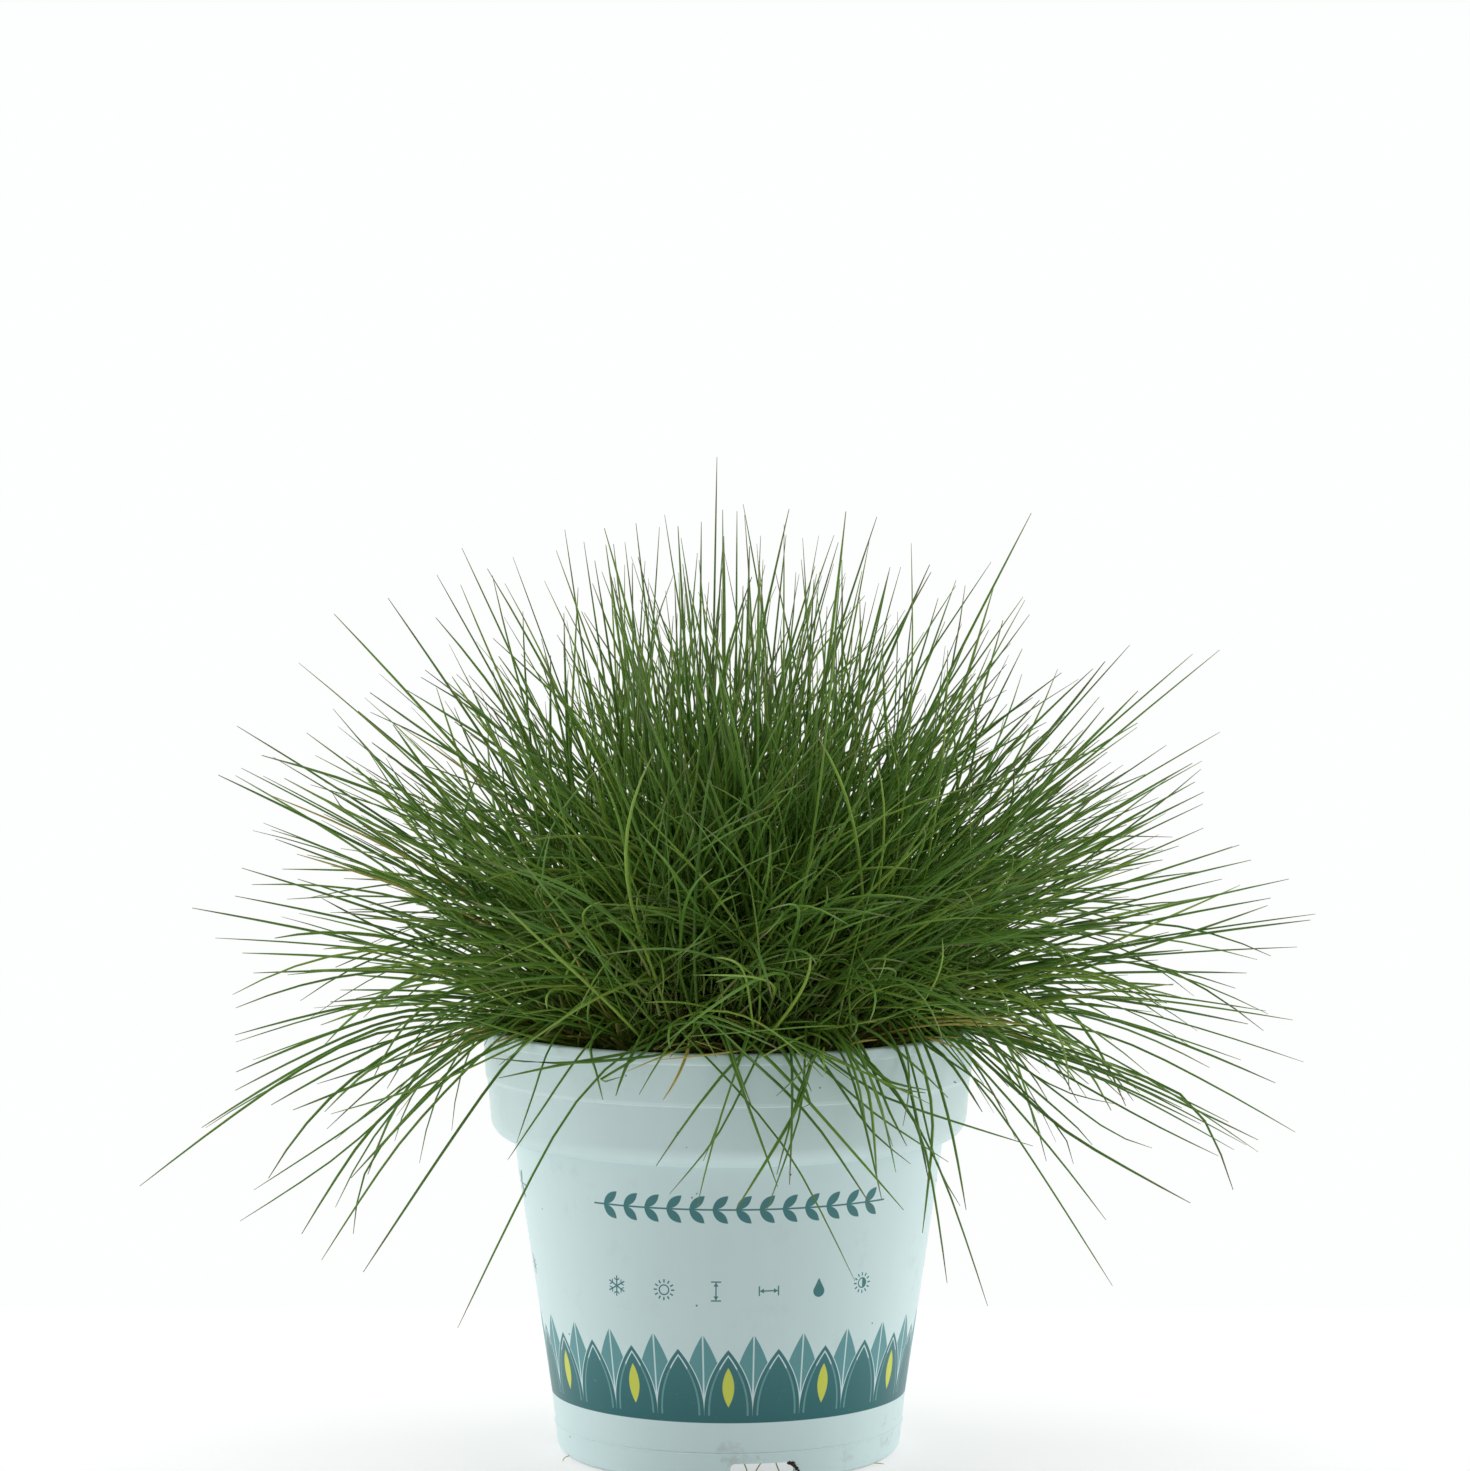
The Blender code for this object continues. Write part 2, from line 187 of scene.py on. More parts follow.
# Leaves that stand out of the tussock: azimuth on the crown in degrees and share of its radius, the column
# and row of the tip in the photograph, and its depth and the rise of the leaf's bow in mm
STRAY_LEAVES = (
    (-120, 0.15, 717, 457, 2, 0), (70, 0.35, 1031, 513, -6, 6), (80, 0.55, 1220, 650, 10, 10),
    (95, 0.50, 1130, 645, -5, 4), (80, 0.60, 1221, 732, -12, 14), (60, 0.45, 890, 567, -14, 5),
    (75, 0.50, 1025, 600, 12, 8), (-80, 0.35, 462, 548, 4, 5), (-100, 0.45, 437, 575, -10, 12),
    (-60, 0.40, 513, 557, -18, 8), (-85, 0.50, 334, 614, 8, 16), (-70, 0.50, 388, 598, -12, 10),
    (-90, 0.60, 236, 726, 5, 12), (-95, 0.65, 217, 775, -4, 12), (-85, 0.75, 190, 908, 8, 10),
    (-95, 0.70, 213, 938, -8, 14), (-80, 0.90, 135, 1201, -14, 36), (-85, 0.85, 198, 1133, 8, 30),
    (-75, 0.80, 268, 1105, -26, 24), (-105, 0.80, 250, 1060, 26, 20), (-88, 0.90, 232, 1035, 2, 20),
    (90, 0.80, 1318, 914, -5, 12), (80, 0.75, 1291, 879, -18, 12), (95, 0.85, 1307, 1062, 8, 24),
    (75, 0.85, 1296, 1020, -22, 18), (85, 0.90, 1299, 1132, -16, 30), (70, 0.90, 1262, 1152, -24, 32),
    (-80, 0.55, 306, 733, -8, 10), (-85, 0.60, 240, 768, 12, 12), (-95, 0.55, 272, 757, -14, 10),
    (-75, 0.60, 262, 776, 6, 12), (-100, 0.65, 262, 823, 14, 12), (-82, 0.60, 274, 839, -10, 12),
    (-88, 0.70, 240, 868, -16, 10), (-78, 0.65, 296, 879, 10, 10), (-92, 0.70, 233, 896, 0, 12),
    (-84, 0.75, 240, 953, -12, 14), (-98, 0.75, 251, 973, 12, 14), (-86, 0.85, 233, 1042, -18, 22),
    (-80, 0.85, 233, 1072, -24, 24), (-84, 0.85, 232, 1091, 16, 26), (75, 0.50, 1193, 654, -12, 8),
    (85, 0.55, 1162, 698, 6, 10), (78, 0.55, 1203, 761, 10, 10), (90, 0.60, 1196, 782, -10, 8),
    (80, 0.60, 1205, 792, 4, 10), (70, 0.55, 1204, 804, -16, 8), (85, 0.65, 1205, 828, 14, 8),
    (88, 0.70, 1241, 845, -4, 12), (76, 0.60, 1253, 860, 8, 14), (95, 0.70, 1224, 879, -14, 12),
    (84, 0.75, 1273, 898, 0, 12), (92, 0.80, 1313, 920, 12, 12), (78, 0.75, 1300, 947, -12, 14),
    (86, 0.80, 1249, 973, 10, 14), (82, 0.80, 1269, 1011, -16, 18), (92, 0.85, 1251, 1024, 2, 18),
    (80, 0.85, 1244, 1060, -22, 22), (88, 0.90, 1279, 1083, 6, 26), (75, 0.35, 1112, 762, -6, 8),
    (70, 0.40, 1098, 775, 8, 7), (85, 0.45, 1120, 782, -12, 9), (60, 0.30, 1086, 752, 4, 6),
    (80, 0.50, 1105, 790, -2, 8), (90, 0.45, 1130, 770, 12, 10), (65, 0.45, 1092, 798, -14, 6),
    (85, 0.50, 1118, 806, 6, 9), (70, 0.35, 1075, 765, -9, 7), (95, 0.50, 1128, 795, 0, 8),
    (65, 0.30, 1040, 700, -8, 5), (75, 0.35, 1062, 720, 6, 6), (60, 0.35, 1030, 725, -14, 5),
    (80, 0.40, 1050, 742, 10, 6), (88, 0.70, 1160, 960, -4, 10), (80, 0.70, 1175, 985, 8, 12),
    (92, 0.65, 1150, 940, -12, 9), (75, 0.75, 1140, 1000, -20, 11), (86, 0.75, 1168, 1003, 4, 12),
    (78, 0.70, 1185, 950, -8, 11), (84, 0.70, 1130, 975, 12, 9), (72, 0.80, 1155, 1012, -16, 12),
    (-80, 0.55, 345, 800, -6, 9), (-90, 0.60, 360, 815, 8, 8), (-75, 0.55, 330, 790, 4, 10),
    (-85, 0.60, 352, 835, -12, 8), (-95, 0.55, 372, 785, -2, 9), (-82, 0.65, 320, 820, 12, 10),
    (-70, 0.60, 380, 840, -16, 7), (-88, 0.50, 365, 770, 6, 9), (70, 0.40, 1100, 740, -4, 8),
    (78, 0.45, 1108, 752, 8, 8), (65, 0.35, 1096, 762, -10, 7), (82, 0.45, 1090, 785, 2, 7),
    (74, 0.50, 1115, 772, -14, 9), (88, 0.50, 1124, 765, 10, 9), (68, 0.45, 1102, 800, -6, 7),
    (60, 0.35, 1085, 740, 6, 6), (72, 0.40, 1078, 780, -12, 6), (90, 0.50, 1122, 792, 0, 8),
    (76, 0.45, 1112, 785, 12, 8), (84, 0.55, 1135, 782, -8, 9), (-86, 0.75, 352, 975, -6, 8),
    (-78, 0.75, 338, 990, 6, 9), (-92, 0.70, 365, 962, -12, 7), (-84, 0.80, 345, 1010, 10, 10),
    (-80, 0.75, 372, 998, -16, 8), (-90, 0.80, 328, 1002, -2, 11), (-90, 0.30, 789, 509, 6, 4),
    (-60, 0.15, 991, 562, -8, 6), (-90, 0.25, 815, 566, -12, 5), (-75, 0.35, 834, 535, 10, 4),
    (-80, 0.20, 931, 572, -4, 6), (60, 0.05, 786, 535, 12, 1), (-70, 0.15, 678, 526, -6, 1),
    (-60, 0.25, 636, 523, 8, 1), (-90, 0.30, 625, 542, -12, 2), (-80, 0.45, 584, 542, 2, 2),
    (40, 0.05, 737, 511, -10, 0), (70, 0.30, 889, 571, 4, 2), (75, 0.45, 956, 580, 8, 2),
    (60, 0.15, 1023, 597, -12, 7), (80, 0.20, 565, 606, -10, 7), (85, 0.15, 602, 572, 6, 6),
    (90, 0.30, 640, 600, -16, 5), (75, 0.35, 690, 590, -4, 4), (-85, 0.35, 880, 640, -14, 6),
    (-70, 0.30, 905, 610, 12, 6),
)
# Dry ones that stand out low at the front, written in the same way
GOLDEN_LEAVES = (
    (-50, 0.90, 490, 1048, -36, 10), (35, 0.85, 1020, 1018, -40, 8), (40, 0.90, 1012, 1026, -44, 7),
    (45, 0.90, 1034, 1025, -36, 9), (30, 0.95, 996, 1022, -48, 6),
)
# Leaves that hang over the rim: azimuth where each crosses it, in degrees, column and row of a place
# halfway down and of the tip in the photograph, and the tip's depth in mm
HANGING_LEAVES = (
    (-6, 788, 1152, 856, 1281, -76), (0, 745, 1097, 778, 1187, -74), (3, 721, 1116, 703, 1161, -74),
    (7, 720, 1131, 669, 1194, -76), (3, 812, 1119, 875, 1210, -74), (7, 822, 1116, 905, 1210, -72),
    (20, 800, 1092, 777, 1175, -76), (19, 797, 1109, 735, 1211, -78), (17, 800, 1115, 766, 1213, -74),
    (19, 868, 1126, 912, 1164, -66), (25, 859, 1098, 883, 1200, -70), (27, 870, 1095, 878, 1180, -70),
    (29, 880, 1100, 897, 1172, -68), (31, 888, 1106, 908, 1146, -66), (28, 887, 1080, 929, 1090, -60),
    (26, 885, 1084, 927, 1093, -60), (29, 921, 1132, 949, 1283, -60), (29, 933, 1151, 990, 1306, -56),
    (40, 912, 1092, 930, 1180, -60), (46, 934, 1118, 924, 1233, -62), (49, 951, 1122, 968, 1210, -56),
    (19, 888, 1098, 1035, 1146, -52), (16, 871, 1110, 950, 1162, -60), (43, 935, 1155, 962, 1206, -58),
    (50, 954, 1066, 984, 1112, -52), (54, 1010, 1124, 1116, 1286, -52), (60, 1049, 1144, 1109, 1220, -44),
    (62, 1065, 1129, 1194, 1203, -38), (65, 1057, 1123, 1076, 1164, -36), (68, 1069, 1118, 1095, 1145, -34),
    (75, 1103, 1125, 1155, 1148, -24), (80, 1141, 1116, 1222, 1156, -20), (85, 1180, 1092, 1237, 1190, -16),
    (-11, 564, 1063, 490, 1058, -58), (-20, 564, 1064, 497, 1078, -60), (-21, 622, 1075, 615, 1096, -70),
    (-22, 556, 1130, 455, 1328, -66), (-32, 594, 1067, 602, 1100, -66), (-33, 545, 1103, 506, 1160, -64),
    (-43, 533, 1091, 515, 1143, -60), (-51, 440, 1080, 328, 1114, -40), (-51, 463, 1120, 360, 1272, -52),
    (-62, 400, 1140, 318, 1260, -44), (-70, 372, 1155, 350, 1234, -38), (-75, 372, 1125, 298, 1234, -34),
    (-80, 345, 1148, 236, 1221, -26), (-68, 422, 1045, 324, 1129, -30), (-72, 418, 1052, 314, 1084, -24),
    (-75, 410, 1062, 290, 1110, -20), (-66, 430, 1062, 332, 1140, -34), (-56, 443, 1080, 348, 1178, -44),
    (-74, 350, 1125, 250, 1190, -30), (48, 985, 1085, 1007, 1110, -54), (70, 1057, 1087, 1118, 1104, -34),
    (72, 1114, 1076, 1250, 1145, -24), (70, 1110, 1082, 1238, 1150, -28), (74, 1118, 1074, 1262, 1140, -20),
    (70, 1104, 1078, 1204, 1124, -30), (76, 1120, 1070, 1232, 1122, -16), (73, 1100, 1070, 1185, 1108, -22),
    (60, 990, 1045, 1020, 1066, -40), (57, 985, 1050, 1015, 1074, -44), (-18, 596, 1082, 620, 1077, -70),
    (12, 811, 1099, 802, 1108, -74),
)
DRY_LEAVES = 48

# Studio: the floor's width, its depth and how far back it reaches, and lamps with place, size and power
FLOOR_WIDTH = 2.4
FLOOR_DEPTH = 1.4
FLOOR_BACK = 0.205
LAMPS = (
    ((-0.93, 0.16, 0.35), 0.8, 5),
    ((0.93, 0.16, 0.35), 0.8, 5),
    ((0, -0.1, 1.1), 0.7, 3),
)
LAMP_AIM = Vector((0, 0, 0.13))

dice = np.random.default_rng(11)


# Making meshes with Blender's operators


def deselect():
    if bpy.context.object and bpy.context.object.mode != "OBJECT":
        bpy.ops.object.mode_set(mode="OBJECT")
    bpy.ops.object.select_all(action="DESELECT")


def place_in_mesh(name):
    """Names the active object and puts its place into its mesh."""
    piece = bpy.context.object
    bpy.ops.object.transform_apply(location=True, rotation=True, scale=True)
    piece.name = name
    piece.data.name = name
    return piece


def out_at(azimuth):
    """The level direction of an azimuth."""
    return Vector((math.sin(azimuth), -math.cos(azimuth), 0))


def polar(radius, azimuth, height):
    """Places at a distance from the pot's axis, at an azimuth and a height."""
    return np.stack([radius * np.sin(azimuth), -radius * np.cos(azimuth), height], axis=-1)


def arc(centre, radii, start, end, steps):
    """Points on a stretch of an ellipse with a level and an upright radius, ends included."""
    angles = np.linspace(start, end, steps + 1)
    return [(centre[0] + radii[0] * math.cos(a), centre[1] + radii[1] * math.sin(a)) for a in angles]


def turned(name, profile, sides):
    """A circle, extruded and resized in edit mode along (radius, height) stops, with both ends closed."""
    deselect()
    radius, height = profile[0]
    bpy.ops.mesh.primitive_circle_add(vertices=sides, radius=radius, location=(0, 0, height))
    bpy.ops.object.mode_set(mode="EDIT")
    bpy.ops.mesh.select_all(action="SELECT")
    bpy.ops.mesh.edge_face_add()
    bpy.ops.mesh.select_all(action="SELECT")
    bpy.ops.mesh.delete(type="ONLY_FACE")
    bpy.ops.mesh.select_all(action="SELECT")
    for (r0, z0), (r1, z1) in zip(profile, profile[1:]):
        bpy.ops.mesh.extrude_region_move()
        grow = r1 / r0
        bpy.ops.transform.resize(value=(grow, grow, 1), center_override=(0, 0, z0))
        bpy.ops.transform.translate(value=(0, 0, z1 - z0))
    bpy.ops.mesh.edge_face_add()
    bpy.ops.mesh.poke()
    bpy.ops.mesh.select_all(action="DESELECT")
    bpy.ops.mesh.select_non_manifold()
    bpy.ops.mesh.edge_face_add()
    bpy.ops.mesh.poke()
    bpy.ops.mesh.select_all(action="SELECT")
    bpy.ops.mesh.normals_make_consistent(inside=False)
    bpy.ops.object.mode_set(mode="OBJECT")
    return place_in_mesh(name)


def select_only(piece):
    deselect()
    bpy.context.view_layer.objects.active = piece
    piece.select_set(True)


def apply_modifier(piece, kind, **settings):
    select_only(piece)
    modifier = piece.modifiers.new(kind.lower(), kind)
    for key, value in settings.items():
        setattr(modifier, key, value)
    bpy.ops.object.modifier_apply(modifier=modifier.name)


def shade(piece, degrees):
    """Smooth shading, but for edges that turn by more than this."""
    select_only(piece)
    bpy.ops.object.shade_smooth_by_angle(angle=math.radians(degrees))


def corners_of(piece):
    co = np.empty(len(piece.data.vertices) * 3, np.float32)
    piece.data.vertices.foreach_get("co", co)
    return co.reshape(-1, 3).astype(float)


def set_corners(piece, co):
    piece.data.vertices.foreach_set("co", np.asarray(co, np.float32).ravel())
    piece.data.update()


def joined_copies(name, master, corners, values):
    """One mesh of many copies of a master mesh.

    corners has the shape (copies, vertices, 3), and the values are given for each copy or for each vertex.
    """
    count, per_copy = corners.shape[:2]
    faces = [tuple(p.vertices) for p in master.data.polygons]
    mesh = bpy.data.meshes.new(name)
    sizes = np.array([len(f) for f in faces])
    loops = np.concatenate([np.array(f) for f in faces])
    all_loops = (loops[None, :] + (np.arange(count) * per_copy)[:, None]).ravel()
    mesh.vertices.add(count * per_copy)
    mesh.vertices.foreach_set("co", corners.astype(np.float32).ravel())
    mesh.loops.add(len(all_loops))
    mesh.loops.foreach_set("vertex_index", all_loops.astype(np.int32))
    all_sizes = np.tile(sizes, count)
    mesh.polygons.add(len(all_sizes))
    starts = np.concatenate([[0], np.cumsum(all_sizes)[:-1]])
    mesh.polygons.foreach_set("loop_start", starts.astype(np.int32))
    mesh.update(calc_edges=True)
    mesh.shade_smooth()
    for key, value in values.items():
        attribute = mesh.attributes.new(key, "FLOAT", "POINT")
        spread = np.broadcast_to(np.asarray(value, np.float32).reshape(count, -1), (count, per_copy))
        attribute.data.foreach_set("value", np.ascontiguousarray(spread).ravel())
    piece = bpy.data.objects.new(name, mesh)
    bpy.context.scene.collection.objects.link(piece)
    return piece


# Materials


class Value:
    """A shader number that Python's operators work on."""

    def __init__(self, nodes, socket):
        self.nodes = nodes
        self.socket = socket

    def math(self, operation, *others):
        inputs = dict(enumerate((self, *others)))
        return self.nodes.node("ShaderNodeMath", {"operation": operation}, inputs)

    def sibling(self, output):
        """Another output of the node that gives this value."""
        return Value(self.nodes, self.socket.node.outputs[output])

    def __add__(self, other):
        return self.math("ADD", other)

    def __mul__(self, other):
        return self.math("MULTIPLY", other)

    def __sub__(self, other):
        return self.math("SUBTRACT", other)

    def __rsub__(self, other):
        return (self * -1) + other

    def __truediv__(self, other):
        return self.math("DIVIDE", other)

    def __pow__(self, other):
        return self.math("POWER", other)

    def __abs__(self):
        return self.math("ABSOLUTE")

    __radd__ = __add__
    __rmul__ = __mul__

    def below(self, edge, soft):
        """1 where the value is under edge, 0 over it, with a soft crossing this wide."""
        crossing = {"From Min": edge - soft / 2, "From Max": edge + soft / 2, "To Min": 1, "To Max": 0}
        return self.nodes.node("ShaderNodeMapRange", {"clamp": True}, {"Value": self, **crossing})

    def above(self, edge, soft):
        """1 where the value is over edge, 0 under it."""
        return 1 - self.below(edge, soft)


class Nodes:
    """A tree of shader nodes that are made one call at a time."""

    def __init__(self, tree):
        self.tree = tree

    def put(self, target, value):
        if isinstance(value, Value):
            self.tree.links.new(value.socket, target)
        elif target.type == "RGBA" and len(value) == 3:
            target.default_value = (*value, 1)
        else:
            target.default_value = value

    def node(self, kind, settings=None, inputs=None, output=0):
        node = self.tree.nodes.new(kind)
        for key, value in (settings or {}).items():
            setattr(node, key, value)
        for key, value in (inputs or {}).items():
            self.put(node.inputs[key], value)
        return Value(self, node.outputs[output])


class Finish(Nodes):
    """A Principled material."""

    def __init__(self, name, **constants):
        self.material = bpy.data.materials.new(name)
        self.material.use_nodes = True
        super().__init__(self.material.node_tree)
        self.shader = self.tree.nodes["Principled BSDF"]
        for key, value in constants.items():
            self.shader.inputs[key.replace("_", " ")].default_value = value

    def place(self):
        """Object coordinates."""
        return self.node("ShaderNodeTexCoord", output="Object")

    def apart(self, vector):
        x = self.node("ShaderNodeSeparateXYZ", {}, {0: vector})
        return x, x.sibling("Y"), x.sibling("Z")

    def attribute(self, name):
        return self.node("ShaderNodeAttribute", {"attribute_name": name}, output="Fac")

    def noise(self, vector, scale, detail, rough=0.5):
        inputs = {"Vector": vector, "Scale": scale, "Detail": detail, "Roughness": rough}
        return self.node("ShaderNodeTexNoise", {}, inputs)

    def mix(self, share, first, second):
        """Colour mix: first where share is 0, second where it is 1."""
        settings = {"data_type": "RGBA", "clamp_factor": True}
        return self.node("ShaderNodeMix", settings, {0: share, 6: first, 7: second}, output=2)

    def bump(self, height, strength, distance):
        inputs = {"Height": height, "Strength": strength, "Distance": distance}
        self.put(self.shader.inputs["Normal"], self.node("ShaderNodeBump", {}, inputs))

    def surface(self, **values):
        for key, value in values.items():
            self.put(self.shader.inputs[key.replace("_", " ")], value)
        return self.material


def larger(first, second):
    return first.math("MAXIMUM", second)


def between(value, start, end):
    """1 where the value is from start to end, 0 elsewhere."""
    return (value - start).math("MINIMUM", end - value).above(0, PRINT_SOFT)


# Pot


def notch_cutter(azimuth):
    """A rounded block through the foot ring, as wide and high as the drainage notch."""
    deselect()
    out = out_at(azimuth)
    middle = out * (NOTCH_INNER + NOTCH_DEPTH / 2)
    bpy.ops.mesh.primitive_cube_add(size=1, location=middle, rotation=(0, 0, azimuth))
    bpy.context.object.scale = (NOTCH_WIDTH, NOTCH_DEPTH, NOTCH_HEIGHT * 2)
    block = place_in_mesh("notch")
    bpy.ops.object.mode_set(mode="EDIT")
    bpy.ops.mesh.select_all(action="DESELECT")
    bpy.ops.object.mode_set(mode="OBJECT")
    for edge in block.data.edges:
        a, b = (block.data.vertices[i].co for i in edge.vertices)
        edge.select = abs((a - b).normalized().dot(out)) > 0.9
    bpy.ops.object.mode_set(mode="EDIT")
    bpy.ops.mesh.select_mode(type="EDGE")
    bpy.ops.mesh.bevel(offset=NOTCH_ROUNDING, segments=6)
    bpy.ops.object.mode_set(mode="OBJECT")
    return block


def cut(piece, cutter):
    apply_modifier(piece, "BOOLEAN", operation="DIFFERENCE", solver="EXACT", object=cutter)
    bpy.data.objects.remove(cutter)


def pot_profile():
    """From the middle of the underside, up the outside, over the rim and down the inside to the base."""
    ring_outer = FOOT_RADIUS - FOOT_ROUNDING_WIDTH
    rim_radius = LIP_RADIUS - LIP_PROUD
    lip_foot = POT_HEIGHT - LIP_HEIGHT

    def collar(height):
        share = (height - COLLAR_FOOT) / (lip_foot - COLLAR_FOOT)
        return COLLAR_FOOT_RADIUS + share * (rim_radius - COLLAR_FOOT_RADIUS)

    def wall(height):
        share = (height - FOOT_ROUNDING) / (WALL_FOOT - FOOT_ROUNDING)
        return FOOT_RADIUS + share * (WALL_FOOT_RADIUS - FOOT_RADIUS)

    line = 0.2 * MM
    under = (COLLAR_FOOT_RADIUS - WALL_TOP_RADIUS, COLLAR_ROUNDING)
    edge = (RIM_EDGE, RIM_EDGE)
    inner_edge = (LIP_RADIUS - RIM_WIDTH + RIM_EDGE, POT_HEIGHT - RIM_EDGE)
    return [
        (0.6 * MM, BASE_RAISED),
        (3.2 * MM, BASE_RAISED),
        (3.4 * MM, BASE_RAISED - 0.3 * MM),
        (4.2 * MM, BASE_RAISED - 0.3 * MM),
        (4.4 * MM, BASE_RAISED),
        (26 * MM, BASE_RAISED),
        (26.3 * MM, BASE_RAISED - 0.4 * MM),
        (27 * MM, BASE_RAISED - 0.4 * MM),
        (27.3 * MM, BASE_RAISED),
        (FOOT_RADIUS - FOOT_RING_WIDTH, BASE_RAISED),
        (ring_outer - FOOT_RING_WIDTH, 0.2 * MM),
        (ring_outer - FOOT_RING_WIDTH + 0.2 * MM, 0),
        *arc((ring_outer, FOOT_ROUNDING), (FOOT_ROUNDING_WIDTH, FOOT_ROUNDING), -math.pi / 2, 0, 8),
        (wall(FOOT_LINE - 0.25 * MM), FOOT_LINE - 0.25 * MM),
        (wall(FOOT_LINE) + line, FOOT_LINE - 0.08 * MM),
        (wall(FOOT_LINE) + line, FOOT_LINE + 0.08 * MM),
        (wall(FOOT_LINE + 0.25 * MM), FOOT_LINE + 0.25 * MM),
        (WALL_FOOT_RADIUS - 0.05 * MM, WALL_FOOT - 0.6 * MM),
        (WALL_FOOT_RADIUS, WALL_FOOT),
        (WALL_TOP_RADIUS, WALL_TOP - 0.3 * MM),
        (WALL_TOP_RADIUS + 0.3 * MM, WALL_TOP),
        *arc((WALL_TOP_RADIUS, COLLAR_FOOT), under, math.radians(-84), 0, 14),
        (collar(STEP_HEIGHT - STEP_PROUD), STEP_HEIGHT - STEP_PROUD),
        (collar(STEP_HEIGHT) + STEP_PROUD * 0.9, STEP_HEIGHT - 0.1 * MM),
        (collar(STEP_HEIGHT) + STEP_PROUD, STEP_HEIGHT + 0.15 * MM),
        (rim_radius, lip_foot - 0.25 * MM),
        (LIP_RADIUS - 0.1 * MM, lip_foot),
        (LIP_RADIUS, lip_foot + 0.25 * MM),
        *arc((LIP_RADIUS - RIM_EDGE, POT_HEIGHT - RIM_EDGE), edge, 0, math.pi / 2, 4),
        *arc(inner_edge, edge, math.pi / 2, math.pi, 4),
        (COLLAR_FOOT_RADIUS - WALL, COLLAR_FOOT),
        (LEDGE_RADIUS - WALL, LEDGE_HEIGHT),
        (WALL_TOP_RADIUS - WALL, WALL_TOP),
        (WALL_FOOT_RADIUS - WALL, WALL_FOOT),
        (FOOT_RADIUS - WALL, BASE_RAISED + WALL),
        (0.6 * MM, BASE_RAISED + WALL),
    ]


def bulge(across, share, width):
    """How far inside a pointed oval a place is, sideways. share runs from 0 to 1 along the oval."""
    return share * (1 - share) * (width * 2) - abs(across)


def bar(along, across, start, end, width):
    return between(along, start, end) * abs(across).below(width / 2, PRINT_SOFT)


def folded(value, period):
    """The value's distance from the nearest whole period, signed: a pattern that repeats."""
    return (value / period + 0.5).math("FRACT") * period - period / 2


def length_of(across, up):
    return (across * across + up * up).math("SQRT")


def arch(cell, share, half_width):
    """How far inside a pointed arch a place is, sideways. share is 0 at its foot and 1 at its point."""
    return (1 - larger(share, 0) ** 2.2) * half_width - abs(cell)


def petal_border(azimuth, height, radius):
    """A traditional border of pointed petals on a plain strip: ink, pale ink of the back row, and ovals."""
    half_width = math.pi / PETALS * radius
    up = height - WALL_FOOT - BORDER_STRIP
    cell = folded(azimuth, math.tau / PETALS) * radius
    back_cell = folded(azimuth + math.pi / PETALS, math.tau / PETALS) * radius
    edge = 0.12 * MM
    line_edge = 0.1 * MM
    front = arch(cell, up / FRONT_PETAL, half_width)
    back = arch(back_cell, up / BACK_PETAL, half_width * 0.92)
    rib = abs(front - 1.25 * MM).below(0.2 * MM, line_edge)
    outline = abs(front).below(0.28 * MM, line_edge)
    vein = abs(back_cell).below(0.2 * MM, line_edge)
    strip = height.below(WALL_FOOT + BORDER_STRIP, edge)
    ink = larger(front.above(0, edge) * (1 - rib), strip)
    back_ink = back.above(0, edge) * (1 - vein) * (1 - ink) * (1 - outline)
    every_second = abs(folded(azimuth, math.tau / (PETALS / 2))).below(0.1, 0.001)
    oval_foot, oval_height, oval_width = 2.2 * MM, 10.5 * MM, 3 * MM
    oval = bulge(cell, (up - oval_foot) / oval_height, oval_width).above(0, edge)
    return ink, back_ink, oval * every_second


def garland(along, up):
    """A thin stem with paired pointed leaves, where the pot's title stands."""
    half_length = 6.5 * GARLAND_STEP
    half_stem = half_length + 2 * MM
    leaf_length, leaf_width, edge = 5.4 * MM, 2.3 * MM, 0.1 * MM
    local = folded(along, GARLAND_STEP) + 1.9 * MM
    height = abs(up)
    leaf_along = local * math.cos(GARLAND_SLANT) + height * math.sin(GARLAND_SLANT)
    leaf_across = height * math.cos(GARLAND_SLANT) - local * math.sin(GARLAND_SLANT)
    leaf = bulge(leaf_across, leaf_along / leaf_length, leaf_width).above(0, edge)
    stem = bar(along, up, -half_stem, half_stem, 0.45 * MM)
    return larger(leaf * abs(along).below(half_length, edge), stem)


